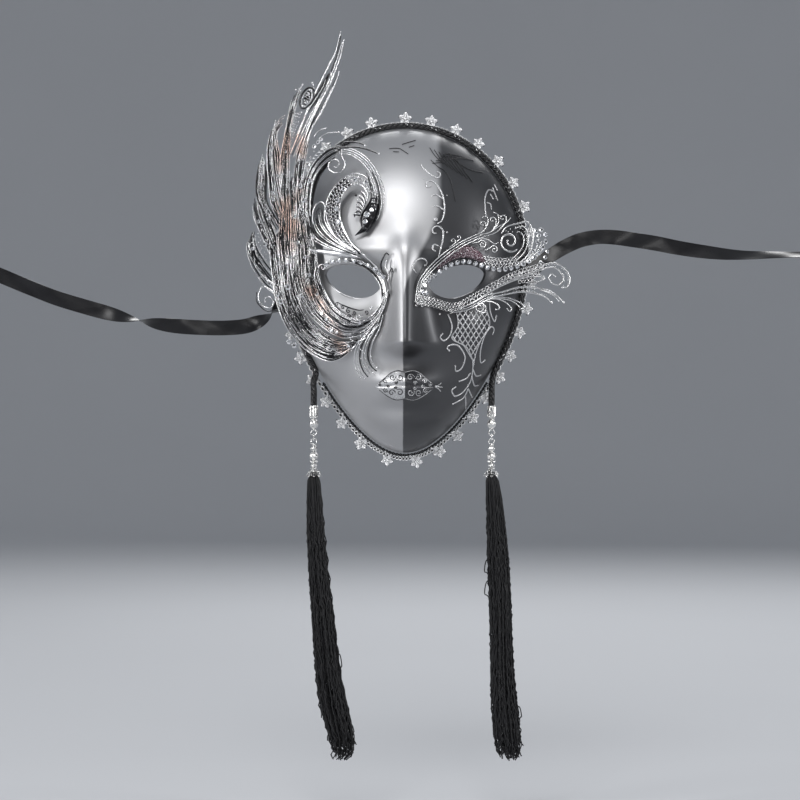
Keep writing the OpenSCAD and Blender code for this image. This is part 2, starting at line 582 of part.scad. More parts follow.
shell();
ribbon_patch_left();
ribbon_patch_right();
ribbon_left();
ribbon_right();
edge_rope();
jaw_cord();
lace_band();
lace_flowers();
lips_left();
lips_right();
forehead_scroll();
temple_scroll();
cheek_lattice();
cheek_scrolls();
bird_neck();
bird_head();
bird_crest();
forehead_arcs();
tail_plumes();
back_plumes();
lower_plumes();
brow_feather();
under_eye_feathers();
cheek_feathers();
nose_leaf();
wing_stones();
left_eye_stones();
eye_frame_upper();
eye_frame_lower();
eye_frame_spiral();
eye_frame_scrolls();
eye_frame_tails();
right_eye_stones();
left_eye_pin();
left_tube_bead();
left_cone_bead();
left_link_ring();
left_drop_pin();
left_drop_beads();
left_spacer();
left_tassel_cap();
left_tassel();
right_eye_pin();
right_tube_bead();
right_cone_bead();
right_link_ring();
right_drop_pin();
right_drop_beads();
right_spacer();
right_tassel_cap();
right_tassel();
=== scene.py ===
import math
import random

import bpy
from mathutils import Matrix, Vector

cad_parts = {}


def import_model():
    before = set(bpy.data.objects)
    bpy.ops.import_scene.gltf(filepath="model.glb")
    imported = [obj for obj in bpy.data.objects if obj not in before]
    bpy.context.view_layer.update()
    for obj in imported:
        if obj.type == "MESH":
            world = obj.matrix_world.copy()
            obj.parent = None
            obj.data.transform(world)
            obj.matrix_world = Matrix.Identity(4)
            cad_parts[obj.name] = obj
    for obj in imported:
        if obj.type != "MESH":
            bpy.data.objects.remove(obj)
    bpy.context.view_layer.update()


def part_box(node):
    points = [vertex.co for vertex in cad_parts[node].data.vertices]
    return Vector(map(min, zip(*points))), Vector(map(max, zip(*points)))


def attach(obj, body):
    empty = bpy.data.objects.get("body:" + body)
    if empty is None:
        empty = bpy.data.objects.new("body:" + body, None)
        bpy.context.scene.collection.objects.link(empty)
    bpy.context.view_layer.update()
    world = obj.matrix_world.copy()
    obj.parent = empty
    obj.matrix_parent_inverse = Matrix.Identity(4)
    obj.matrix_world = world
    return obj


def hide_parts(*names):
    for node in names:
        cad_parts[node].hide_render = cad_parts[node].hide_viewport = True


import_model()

# Lengths are worked in millimetres and become metres when a piece is made.
MM = 0.001
HALF_IN_MM = 500
FULL = 2 * math.pi
FRONT = Vector((0, -1, 0))

# Face shell
FACE_HALF_W = 79
FACE_HALF_H = 110
FACE_DEPTH = 62
WALL_SHARE = 0.97
SHELL_ROWS = 120
SHELL_COLS = 320
NOSE_H = 24
EYE_X = 34.3
EYE_Z = 5.9
EYE_HALF_W = 19.1
EYE_SLANT = 3.6
EYE_TOP = 8.6
EYE_BOTTOM = 13
EYE_POINTS = 240
LID_ROUND = 1.2
ORNAMENT_GAP = 1.8

# Edge trim
ROPE_R = 1.8
ROPE_Y = -3.6
STRAND_SHARE = 0.47
ROPE_END = 119
JAW_CORD_R = 1.1
JAW_CORD_Y = -2.9
FLOWER_PITCH = 16.3

# Tassel drops
DROP_X = {"left": -61.6, "right": 58.4}
DROP_Y = -10
TUBE_TOP = -77.5
TUBE_BOTTOM = -86.2
CONE_BOTTOM = -93.6
EYE_RING_Z = -96.1
LINK_RING_Z = -99.1
DROP_RING_Z = -102.1
BEAD_TOP = -104.7
CAP_TOP = -119.9
TASSEL_TOP = CAP_TOP - 2.6
TASSEL_L = 197.6
THREADS = 170
THREAD_POINTS = 62
GOLDEN_TURN = 2.39996
WIRE_R = 0.4
RING_R = 1.9
LINK_R = 2.2

# Tie ribbons
RIBBON_W = 10
RIBBON_T = 0.6


# ---- plain shapes of the face, the same as the modelled part's ----
def between(low, high, value):
    return max(low, min(high, value))


def ease(value):
    value = between(0, 1, value)
    return value * value * (3 - 2 * value)


def rim_k(c):
    return 0.985 + 0.235 * c - 0.075 * c * c


def rim(t):
    """A point of the shell's rim, t degrees round from the crown."""
    a = math.radians(t)
    return FACE_HALF_W * rim_k(math.cos(a)) * math.sin(a), FACE_HALF_H * math.cos(a)


def rim_out(t, off):
    """The same point, moved outwards across the rim."""
    x, z = rim(t)
    x1, z1 = rim(t + 0.5)
    x0, z0 = rim(t - 0.5)
    run = math.hypot(x1 - x0, z1 - z0)
    return x - off * (z1 - z0) / run, z + off * (x1 - x0) / run


def rho(x, z):
    c = between(-1, 1, z / FACE_HALF_H)
    return math.hypot(x / (FACE_HALF_W * rim_k(c)), z / FACE_HALF_H)


def bump(x, z, cx, cz, sx, sz):
    return math.exp(-(((x - cx) / sx) ** 2) - ((z - cz) / sz) ** 2)


def nose_line(z):
    if z > 20:
        return 0.25 * math.exp(-(((z - 20) / 14) ** 2))
    if z > -36:
        return 0.25 + 0.75 * ((20 - z) / 56) ** 1.3
    return math.exp(-(((z + 36) / 6.5) ** 2))


def nose_half(z):
    if z > 20:
        return 8
    return 8 + 5 * (20 - z) / 56 if z > -36 else 13


def nose_ridge(x, z):
    """The nose, its root eased into the brow."""
    spread = 7 * math.exp(-(((z - 18) / 16) ** 2))
    total = 0.0
    for k in (-1, -0.5, 0, 0.5, 1):
        level = z + k * spread
        total += nose_line(level) * math.exp(-((x / nose_half(level)) ** 2))
    return NOSE_H * total / 5


def features(x, z):
    ax = abs(x)
    nose = nose_ridge(x, z)
    brow = 3 * bump(ax, z, 26, 23, 24, 7)
    socket = -9 * bump(ax, z, 33, 4, 17, 11)
    cheek = 4 * bump(ax, z, 45, -24, 18, 16)
    mouth = 5 * bump(x, z, 0, -64, 26, 16) + 4 * bump(x, z, 0, -62, 17, 5)
    mouth += 4 * bump(x, z, 0, -70, 13, 4.5) - 3 * bump(x, z, 0, -80, 16, 5)
    chin = 6 * bump(x, z, 0, -93, 18, 12)
    return nose + brow + socket + cheek + mouth + chin


def fade(r):
    if r > 1:
        return 0
    return 1 if r < 0.72 else (1 - r) / 0.28


def face(x, z):
    """How far the face stands in front of the rim's back."""
    r = rho(x, z)
    dome = FACE_DEPTH * max(0, 1 - r**2.4) ** 0.55
    return dome + (fade(r) * features(x, z) if r < 1 else 0)


def soft_max(a, b, w):
    return (a + b + math.sqrt((a - b) ** 2 + w * w)) / 2


def wing_sheet(x, z):
    return soft_max(face(x, z) + ORNAMENT_GAP, 50 + 0.2 * (x + 40) - 0.05 * max(0, z - 60), 5)


def eye_sheet(x, z):
    return soft_max(face(x, z) + ORNAMENT_GAP, 50 - 0.25 * (x - 40), 5)


def paint_sheet(x, z):
    return face(x, z) + 0.2


LIP_EDGE = [(0, -55.5), (3, -54.7), (6, -54.5), (9.5, -56), (13, -59), (17, -62.4), (20.5, -65)]
LIP_FOOT = [(0, -73.5), (5, -74.5), (9, -73.4), (13, -71), (17, -67.8), (20.5, -65)]
MOUTH_LINE = [(0, -64.6), (5, -64), (10, -64.8), (15, -65.2), (20.5, -65)]


def along_table(table, x):
    """A height read from a short list of points, eased from each to the next."""
    for (x0, z0), (x1, z1) in zip(table, table[1:]):
        if x <= x1:
            return z0 + (z1 - z0) * ease((x - x0) / (x1 - x0))
    return table[-1][1]


def lip_sheet(x, z):
    ax = min(20.4, abs(x))
    high = along_table(LIP_EDGE, ax)
    low = along_table(LIP_FOOT, ax)
    across = between(0, 1, (z - low) / max(0.1, high - low))
    swell = math.sin(math.pi * across) ** 0.6 * (1 - 0.55 * (ax / 20.5) ** 3)
    parting = math.exp(-(((z - along_table(MOUTH_LINE, ax)) / 0.9) ** 2))
    return face(x, z) + 0.35 + 2 * swell - 1.3 * parting * (1 - 0.4 * ax / 20.5)


SHEETS = {"wing": wing_sheet, "eye": eye_sheet, "paint": paint_sheet, "lip": lip_sheet}


def on_sheet(kind, x, z, lift=0.0):
    return Vector((x, -SHEETS[kind](x, z) - lift, z))


def out_of(kind, x, z, step=0.6):
    """The way a sheet faces at a point."""
    height = SHEETS[kind]
    across = height(x - step, z) - height(x + step, z)
    up = height(x, z - step) - height(x, z + step)
    return Vector((across, -2 * step, up)).normalized()


# ---- curves ----
def rounded(points, steps):
    """A smooth run through the points, steps of it to each gap."""
    p = [Vector(v) if len(v) == 3 else Vector((v[0], v[1], 0)) for v in points]
    n = len(p)
    run = []
    for i in range(n - 1):
        a, b, c, d = p[max(0, i - 1)], p[i], p[i + 1], p[min(n - 1, i + 2)]
        for j in range(steps):
            s = j / steps
            bend = (2 * a - 5 * b + 4 * c - d) * s * s + (3 * b - a - 3 * c + d) * s**3
            run.append(0.5 * (2 * b + (c - a) * s + bend))
    run.append(p[-1])
    return run


def evenly(points, count):
    """The same curve drawn again with points an even distance apart."""
    run = rounded(points, 10)
    reach = [0.0]
    for a, b in zip(run, run[1:]):
        reach.append(reach[-1] + (b - a).length)
    made = []
    k = 0
    for i in range(count):
        goal = reach[-1] * i / (count - 1)
        while k < len(run) - 2 and reach[k + 1] < goal:
            k += 1
        share = (goal - reach[k]) / max(1e-9, reach[k + 1] - reach[k])
        made.append(run[k].lerp(run[k + 1], between(0, 1, share)))
    return made


def length_of(points):
    run = rounded(points, 6)
    return sum((b - a).length for a, b in zip(run, run[1:]))


def spiral(cx, cz, r0, r1, start, end, count):
    """Flat points on a curl, its angles in degrees."""
    made = []
    for i in range(count + 1):
        s = i / count
        a = math.radians(start + (end - start) * s)
        r = r0 + (r1 - r0) * s
        made.append((cx + r * math.cos(a), cz + r * math.sin(a)))
    return made


# ---- pieces ----
class Piece:
    """Gathers faces in millimetres and becomes one object."""

    def __init__(self, name):
        self.name = name
        self.points = []
        self.faces = []
        self.finishes = []
        self.smooths = []

    def add(self, points, faces, finish=0, smooth=True):
        first = len(self.points)
        self.points.extend(points)
        self.faces.extend(tuple(first + i for i in face) for face in faces)
        self.finishes.extend([finish] * len(faces))
        self.smooths.extend([smooth] * len(faces))

    def make(self, materials, slot, body="root", nodes=(), crease=None):
        mesh = bpy.data.meshes.new(self.name)
        mesh.from_pydata([tuple(MM * c for c in p) for p in self.points], [], self.faces)
        for material in materials:
            mesh.materials.append(material)
        mesh.polygons.foreach_set("material_index", self.finishes)
        mesh.polygons.foreach_set("use_smooth", self.smooths)
        if crease:
            mesh.set_sharp_from_angle(angle=math.radians(crease))
        mesh.update()
        made = bpy.data.objects.new(self.name, mesh)
        bpy.context.scene.collection.objects.link(made)
        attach(made, body)
        if nodes:
            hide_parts(*nodes)
        return made


def sweep(piece, line, outs, width, height, sides=6, finish=0, closed=False):
    """A wire along a line: width, a number or a function of the share of the run, lies in the sheet."""
    count = len(line)
    half_h = 0.5 * height
    points = []
    for i, p in enumerate(line):
        ahead = line[(i + 1) % count] if closed else line[min(count - 1, i + 1)]
        behind = line[i - 1] if closed else line[max(0, i - 1)]
        along = (ahead - behind).normalized()
        side = along.cross(outs[i]).normalized()
        up = side.cross(along)
        half_w = 0.5 * (width(i / max(1, count - 1)) if callable(width) else width)
        for j in range(sides):
            a = FULL * j / sides
            points.append(p + side * (half_w * math.cos(a)) + up * (half_h * math.sin(a)))
    faces = []
    for i in range(count if closed else count - 1):
        this, after = i * sides, (i + 1) % count * sides
        for j in range(sides):
            k = (j + 1) % sides
            faces.append((this + j, after + j, after + k, this + k))
    if not closed:
        faces.append(tuple(range(sides)))
        faces.append(tuple(reversed(range((count - 1) * sides, count * sides))))
    piece.add(points, faces, finish)


def ball(piece, centre, radius, finish=0, around=8, levels=5):
    points = [centre + Vector((0, 0, radius))]
    for i in range(1, levels):
        a = math.pi * i / levels
        for j in range(around):
            b = FULL * j / around
            flat = radius * math.sin(a)
            points.append(centre + Vector((flat * math.cos(b), flat * math.sin(b), radius * math.cos(a))))
    points.append(centre - Vector((0, 0, radius)))
    last = len(points) - 1
    faces = []
    for j in range(around):
        k = (j + 1) % around
        faces.append((0, 1 + j, 1 + k))
        faces.append((last, last - around + k, last - around + j))
        for i in range(levels - 2):
            top, low = 1 + i * around, 1 + (i + 1) * around
            faces.append((top + j, low + j, low + k, top + k))
    piece.add(points, faces, finish)


def chaton(piece, centre, out, radius, turn):
    """A faceted stone: table, crown facets and girdle, in a small round cup with claws."""
    side = out.cross(Vector((0.1, 0.2, 1))).normalized()
    up = side.cross(out)

    def ring(share, level, shift):
        made = []
        for j in range(8):
            a = turn + FULL * (j + shift) / 8
            made.append(centre + radius * (share * (side * math.cos(a) + up * math.sin(a)) + level * out))
        return made

    points = ring(0.52, 0.62, 0.5) + ring(0.96, 0.22, 0) + ring(0.9, -0.35, 0)
    faces = [tuple(reversed(range(8)))]
    for j in range(8):
        k = (j + 1) % 8
        faces.append((j, 8 + k, k))
        faces.append((j, 8 + j, 8 + k))
        faces.append((8 + j, 16 + j, 16 + k, 8 + k))
    faces = [tuple(reversed(f)) for f in faces]
    piece.add(points, faces, 0, False)
    rim_line = []
    for j in range(12):
        a = FULL * j / 12
        rim_line.append(centre + radius * (1.02 * (side * math.cos(a) + up * math.sin(a)) + 0.02 * out))
    sweep(piece, rim_line, [out] * 12, 0.28, 0.75, 4, 1, True)
    for j in range(4):
        a = turn + FULL * (j + 0.25) / 4
        claw = centre + radius * (0.9 * (side * math.cos(a) + up * math.sin(a)) + 0.34 * out)
        ball(piece, claw, 0.2, 1, 5, 3)


def border_walk(rows, cols):
    """The numbers of a grid's points, in order round its border."""
    w = cols + 1
    walk = [i * w for i in range(rows)] + [rows * w + j for j in range(cols)]
    return walk + [i * w + cols for i in range(rows, 0, -1)] + list(range(cols, 0, -1))


def lathe(piece, x, y, profile, sides=24, flutes=0, depth=0.0, finish=0):
    """A turned shape about an upright line, its profile as (radius, level), top to bottom."""
    points = []
    for r, z in profile:
        for j in range(sides):
            a = FULL * j / sides
            q = r * (1 + depth * math.cos(flutes * a))
            points.append(Vector((x + q * math.cos(a), y + q * math.sin(a), z)))
    faces = []
    for i in range(len(profile) - 1):
        for j in range(sides):
            k = (j + 1) % sides
            faces.append((i * sides + j, (i + 1) * sides + j, (i + 1) * sides + k, i * sides + k))
    piece.add(points, faces, finish)


# ---- shader sums ----
class Channel:
    """A shader socket that takes part in plain sums."""

    def __init__(self, recipe, socket):
        self.recipe = recipe
        self.socket = socket

    def out(self, name):
        return Channel(self.recipe, self.socket.node.outputs[name])

    def __add__(self, other):
        return self.recipe.sum("ADD", self, other)

    __radd__ = __add__

    def __sub__(self, other):
        return self.recipe.sum("SUBTRACT", self, other)

    def __rsub__(self, other):
        return self.recipe.sum("SUBTRACT", other, self)

    def __mul__(self, other):
        return self.recipe.sum("MULTIPLY", self, other)

    __rmul__ = __mul__

    def __truediv__(self, other):
        return self.recipe.sum("DIVIDE", self, other)


class Recipe:
    """One material and the nodes that make its finish."""

    def __init__(self, name):
        self.material = bpy.data.materials.new(name)
        self.material.use_nodes = True
        self.tree = self.material.node_tree
        self.tree.nodes.clear()

    def node(self, kind, settings=(), sockets=(), out=0):
        made = self.tree.nodes.new(kind)
        for key, value in dict(settings).items():
            if key == "stops":
                ramp = made.color_ramp
                while len(ramp.elements) < len(value):
                    ramp.elements.new(1.0)
                for element, (place, colour) in zip(ramp.elements, value):
                    element.position = place
                    element.color = (*colour, 1.0)
            else:
                setattr(made, key, value)
        for key, value in dict(sockets).items():
            if isinstance(value, Channel):
                self.tree.links.new(value.socket, made.inputs[key])
            else:
                made.inputs[key].default_value = value
        return Channel(self, made.outputs[out]) if len(made.outputs) else None

    def sum(self, operation, a, b=0.0):
        return self.node("ShaderNodeMath", {"operation": operation}, {0: a, 1: b})

    def place(self):
        """Where a point of the object is, in metres."""
        return self.node("ShaderNodeTexCoord", out="Object")

    def parts(self, vector):
        return self.node("ShaderNodeSeparateXYZ", (), {0: vector})

    def step(self, value, low, high):
        return self.node(
            "ShaderNodeMapRange",
            {"interpolation_type": "SMOOTHSTEP"},
            {"Value": value, "From Min": low, "From Max": high},
        )

    def noise(self, scale, detail=2.0, roughness=0.5, vector=None, spread=0.0):
        sockets = {"Scale": scale, "Detail": detail, "Roughness": roughness, "Distortion": spread}
        sockets["Vector"] = self.place() if vector is None else vector
        return self.node("ShaderNodeTexNoise", (), sockets)

    def stretched(self, x, y, z):
        return self.node("ShaderNodeVectorMath", {"operation": "MULTIPLY"}, {0: self.place(), 1: (x, y, z)})

    def mix(self, share, a, b):
        """Two colours, as links or plain triples, blended by a share."""
        colours = [(*c, 1.0) if isinstance(c, tuple) else c for c in (a, b)]
        return self.node(
            "ShaderNodeMix", {"data_type": "RGBA"}, {0: share, 6: colours[0], 7: colours[1]}, 2
        )

    def surface(self, colour, roughness, height=None, rise=0.0001, strength=1.0, **constants):
        base = (*colour, 1.0) if isinstance(colour, tuple) else colour
        sockets = {"Base Color": base, "Roughness": roughness}
        for key, value in constants.items():
            sockets[key.replace("_", " ").title().replace("Ior", "IOR")] = value
        if height is not None:
            sockets["Normal"] = self.node(
                "ShaderNodeBump", (), {"Height": height, "Distance": rise, "Strength": strength}
            )
        shader = self.node("ShaderNodeBsdfPrincipled", (), sockets)
        self.node("ShaderNodeOutputMaterial", (), {"Surface": shader})
        return self.material


def lacquer_finish():
    """Silver on one side of the face, gunmetal on the other, with a softly sprayed border."""
    r = Recipe("two_tone_lacquer")
    spot = r.parts(r.place())
    x, z = spot.out("X"), spot.out("Z")
    wander = (r.noise(60, 3) - 0.5) * 0.0012
    border = r.step(z, -0.010, 0.058) * 0.024 - 0.0014 + wander
    reach = r.step(z, -0.03, 0.05) * 0.0022 + 0.0004
    share = r.step((x - border) / reach, -1, 1)
    flake = r.noise(2600, 2, 0.6)
    cloud = r.noise(18, 4, 0.6)
    bright = r.mix(flake * 0.35 + cloud * 0.4, (0.40, 0.40, 0.41), (0.60, 0.60, 0.61))
    dark = r.mix(flake * 0.4 + cloud * 0.5, (0.055, 0.056, 0.060), (0.115, 0.116, 0.122))
    rough = 0.41 + flake * 0.06 - share * 0.04 + cloud * 0.05
    peel = r.noise(260, 3, 0.5) * 0.6 + flake * 0.4
    return r.surface(
        r.mix(share, bright, dark), rough, peel, 0.00006, 0.35,
        metallic=0.9, coat_weight=0.12, coat_roughness=0.2,
    )


def lining_finish():
    r = Recipe("brushed_black_lining")
    grain = r.noise(140, 5, 0.65)
    strokes = r.noise(40, 4, 0.6, r.stretched(6, 1, 1))
    colour = r.mix(strokes, (0.012, 0.012, 0.013), (0.034, 0.034, 0.036))
    return r.surface(colour, 0.62 + grain * 0.2, grain + strokes, 0.0003, 0.5)


def chrome_finish():
    """Plated sheet with a painted copper reflection along its back edge and dark dust in random patches."""
    r = Recipe("plated_sheet")
    spot = r.parts(r.place())
    x, z = spot.out("X"), spot.out("Z")
    # Where the painted copper reflection lies: a band up the wing's back and a short slanting band low down.
    column = r.step(x, -0.090, -0.080) * (1 - r.step(x, -0.070, -0.062))
    column = column * r.step(z, 0.015, 0.04) * (1 - r.step(z, 0.10, 0.125))
    along = x + z * 0.55
    low = r.step(along, -0.070, -0.064) * (1 - r.step(along, -0.061, -0.056))
    low = low * r.step(z, -0.050, -0.040) * (1 - r.step(z, 0.000, 0.012))
    patch = r.step(r.noise(55, 3), 0.40, 0.62)
    warm_reflection_mask = (column + low) * patch
    dust = r.step(r.noise(420, 4, 0.7), 0.50, 0.78)
    plate = r.mix(dust * 0.8, (0.76, 0.76, 0.77), (0.26, 0.26, 0.27))
    colour = r.mix(warm_reflection_mask * 0.62, plate, (0.50, 0.30, 0.21))
    rough = 0.14 + dust * 0.22 + r.noise(900) * 0.08
    return r.surface(colour, rough, r.noise(700, 3), 0.00005, 0.4, metallic=1.0)


# Dark metal; laid under and between the bright wires it also paints their shade and dark reflections.
def dark_metal_and_shade_finish():
    r = Recipe("dark_metal_and_painted_shade")
    wear = r.step(r.noise(500, 4, 0.7), 0.52, 0.75)
    colour = r.mix(wear * 0.7, (0.030, 0.030, 0.033), (0.24, 0.24, 0.25))
    return r.surface(colour, 0.22 + wear * 0.2, wear, 0.00004, 0.4, metallic=0.85, coat_weight=0.4)


def frame_finish():
    """Pale brushed silver for the eye frame."""
    r = Recipe("pale_silver")
    cloud = r.noise(300, 4, 0.65)
    dust = r.step(r.noise(650, 4, 0.7), 0.50, 0.74)
    plate = r.mix(cloud, (0.68, 0.68, 0.68), (0.90, 0.90, 0.90))
    colour = r.mix(dust * 0.75, plate, (0.24, 0.24, 0.245))
    return r.surface(colour, 0.18 + cloud * 0.14, r.noise(1100, 2), 0.00005, 0.5, metallic=1.0)


def stone_finish():
    """Foil-backed cut glass."""
    r = Recipe("cut_glass_foil")
    spark = r.noise(900, 1)
    colour = r.mix(spark, (0.86, 0.88, 0.92), (0.97, 0.97, 0.98))
    return r.surface(colour, 0.03 + spark * 0.04, metallic=0.92, coat_weight=0.6, coat_roughness=0.02)


def paint_line_finish():
    """Raised silver relief paint with glitter."""
    r = Recipe("glitter_relief_paint")
    glint = r.step(r.noise(2300, 1, 0.5), 0.45, 0.62)
    colour = r.mix(glint, (0.50, 0.50, 0.51), (0.90, 0.90, 0.91))
    return r.surface(colour, 0.42 - glint * 0.2, glint, 0.00012, 0.7, metallic=0.8)


def dark_paint_finish():
    r = Recipe("black_relief_paint")
    glint = r.step(r.noise(1800, 1, 0.5), 0.50, 0.66)
    colour = r.mix(glint * 0.35, (0.022, 0.022, 0.025), (0.14, 0.14, 0.15))
    return r.surface(colour, 0.36 + glint * 0.1, glint, 0.00008, 0.5, metallic=0.3)


def lip_finish(name, low, high):
    r = Recipe(name)
    glint = r.step(r.noise(2100, 2, 0.6), 0.42, 0.64)
    colour = r.mix(glint, low, high)
    return r.surface(colour, 0.34 - glint * 0.06, glint, 0.00006, 0.5, metallic=0.8, coat_weight=0.3)


def cord_finish():
    """Twisted shiny black yarn; the same black also paints the shade under the lace."""
    r = Recipe("black_twist_yarn_and_lace_shade")
    yarn = r.noise(1500, 3, 0.6, spread=0.4)
    ply = r.step(r.noise(420, 2, 0.5, spread=0.5), 0.45, 0.6)
    colour = r.mix(yarn * 0.5 + ply * 0.5, (0.0015, 0.0015, 0.002), (0.009, 0.009, 0.010))
    return r.surface(
        colour, 0.22 + yarn * 0.10, yarn + ply, 0.00010, 0.6, specular_ior_level=0.6
    )


def painted_highlight_finish():
    """Pale grey lines that paint highlights on the shiny yarn."""
    r = Recipe("painted_highlight_fibre")
    fibre = r.noise(700, 3, 0.6)
    return r.surface(r.mix(fibre, (0.03, 0.03, 0.032), (0.20, 0.20, 0.21)), 0.3, fibre, 0.00005, 0.5)


def lace_finish():
    """Metallised silver thread."""
    r = Recipe("silver_lace_thread")
    twist = r.noise(2400, 2, 0.6)
    glint = r.step(twist, 0.42, 0.62)
    colour = r.mix(glint, (0.74, 0.74, 0.75), (1.0, 1.0, 1.0))
    return r.surface(colour, 0.22 - glint * 0.10, twist, 0.00015, 0.8, metallic=0.3, coat_weight=0.4)


def satin_finish():
    r = Recipe("black_satin_weave")
    weave = r.noise(1800, 2, 0.6, r.stretched(0.35, 1, 1))
    fold = r.noise(70, 3)
    colour = r.mix(weave * 0.6 + fold * 0.4, (0.003, 0.003, 0.004), (0.012, 0.012, 0.014))
    return r.surface(
        colour, 0.24 + weave * 0.12, weave, 0.00005, 0.6, specular_ior_level=0.32
    )


def rayon_finish():
    r = Recipe("black_rayon_thread")
    lay = r.noise(900, 2, 0.5, r.stretched(1, 1, 0.12))
    colour = r.mix(lay, (0.003, 0.003, 0.0035), (0.014, 0.014, 0.016))
    return r.surface(
        colour, 0.38 + lay * 0.16, lay, 0.0001, 0.6, specular_ior_level=0.3
    )


def bead_finish():
    """Cast silver beads, darker in random patches."""
    r = Recipe("cast_bead_silver")
    grime = r.step(r.noise(800, 4, 0.7), 0.48, 0.72)
    colour = r.mix(grime * 0.75, (0.82, 0.815, 0.80), (0.20, 0.20, 0.20))
    return r.surface(colour, 0.16 + grime * 0.25, grime, 0.0001, 0.5, metallic=1.0)


def felt_finish():
    r = Recipe("grey_felt")
    fluff = r.noise(1300, 5, 0.75, spread=0.6)
    colour = r.mix(fluff, (0.045, 0.045, 0.048), (0.15, 0.15, 0.155))
    return r.surface(colour, 0.9, fluff, 0.0005, 1.0, sheen_weight=0.5)


def mesh_finish():
    """Wine-red glitter net behind the eye frame."""
    r = Recipe("wine_glitter_net")
    glint = r.step(r.noise(1700, 1), 0.50, 0.64)
    colour = r.mix(glint, (0.085, 0.040, 0.055), (0.66, 0.58, 0.61))
    return r.surface(colour, 0.32, glint, 0.0001, 0.7, metallic=0.85)


LACQUER = lacquer_finish()
LINING = lining_finish()
CHROME = chrome_finish()
DARK_METAL_AND_SHADE = dark_metal_and_shade_finish()
PALE_SILVER = frame_finish()
STONE = stone_finish()
PAINT_LINE = paint_line_finish()
DARK_PAINT = dark_paint_finish()
LIP_SILVER = lip_finish("silver_lip_paint", (0.50, 0.50, 0.51), (0.86, 0.86, 0.87))
LIP_DARK = lip_finish("dark_lip_paint", (0.035, 0.035, 0.038), (0.10, 0.10, 0.11))
CORD_AND_LACE_SHADE = cord_finish()
PAINTED_HIGHLIGHT_YARN = painted_highlight_finish()
LACE = lace_finish()
SATIN = satin_finish()
RAYON = rayon_finish()
BEAD = bead_finish()
FELT = felt_finish()
WINE_NET = mesh_finish()


# ---- camera, in metres, with its sensor and lens in millimetres ----
CAMERA_PLACE = (-0.0034, -1.5, -0.074)
SENSOR_W = 36
LENS_L = 99.3


def add_camera():
    data = bpy.data.cameras.new("front_camera")
    data.sensor_width = SENSOR_W
    data.lens = LENS_L
    data.clip_end = 60
    camera = bpy.data.objects.new("front_camera", data)
    camera.location = CAMERA_PLACE
    camera.rotation_euler = (math.radians(90), 0, 0)
    bpy.context.scene.collection.objects.link(camera)
    bpy.context.scene.camera = camera


add_camera()

# ---- tie ribbons: route points and the ribbon's turn about its run at each ----
LEFT_ROUTE = [
    (-71.8, -8, -5), (-78, -8, -5.4), (-85, -7.5, -10), (-91, -7, -16), (-98, -6.5, -20.5),
    (-108, -6, -24), (-122, -6, -25.2), (-138, -6, -25), (-154, -6, -24), (-170, -6, -22),
    (-186, -6, -19), (-202, -6, -15), (-218, -6, -10.5), (-236, -6, -5), (-254, -6, 2),
    (-272, -6, 9.5), (-282, -6, 13.5), (-291, -6, 17),
]
LEFT_TURN = [0, 0, 25, 100, 150, 180, 180, 178, 190, 225, 300, 345, 360, 365, 370, 360, 360, 360]
RIGHT_ROUTE = [
    (74.2, -8, 9), (79.5, -8, 9.4), (86.5, -7.5, 14), (93, -7, 20), (100, -6.5, 24.8),
    (109, -6, 30), (119, -6, 34.2), (131, -6, 36.4), (143, -6, 36), (156, -6, 34.2),
    (170, -6, 32), (185, -6, 29), (200, -6, 26.6), (215, -6, 25), (230, -6, 24.2),
    (246, -6, 24.2), (262, -6, 24.4), (274, -6, 24.6), (284, -6, 25),
]
RIGHT_TURN = [0, 0, 15, 30, 20, 5, 10, 15, 0, -10, 0, 10, 20, 35, 50, 60, 65, 65, 60]


def knot(side, end, back):
    """The overhand knot at a ribbon's end."""
    piece = Piece(f"{side}_ribbon_knot")
    centre = end + (back - end).normalized() * 4
    line = []
    for i in range(60):
        a = FULL * i / 60
        x = math.sin(a) + 2 * math.sin(2 * a)
        z = math.cos(a) - 2 * math.cos(2 * a)
        line.append(centre + Vector((1.35 * x, -1.1 * math.sin(3 * a), 1.35 * z)))
    outs = [(p - centre).normalized() for p in line]
    sweep(piece, line, outs, 3.4, 1.3, 8, 0, True)
    return piece.make([SATIN], "black_satin")


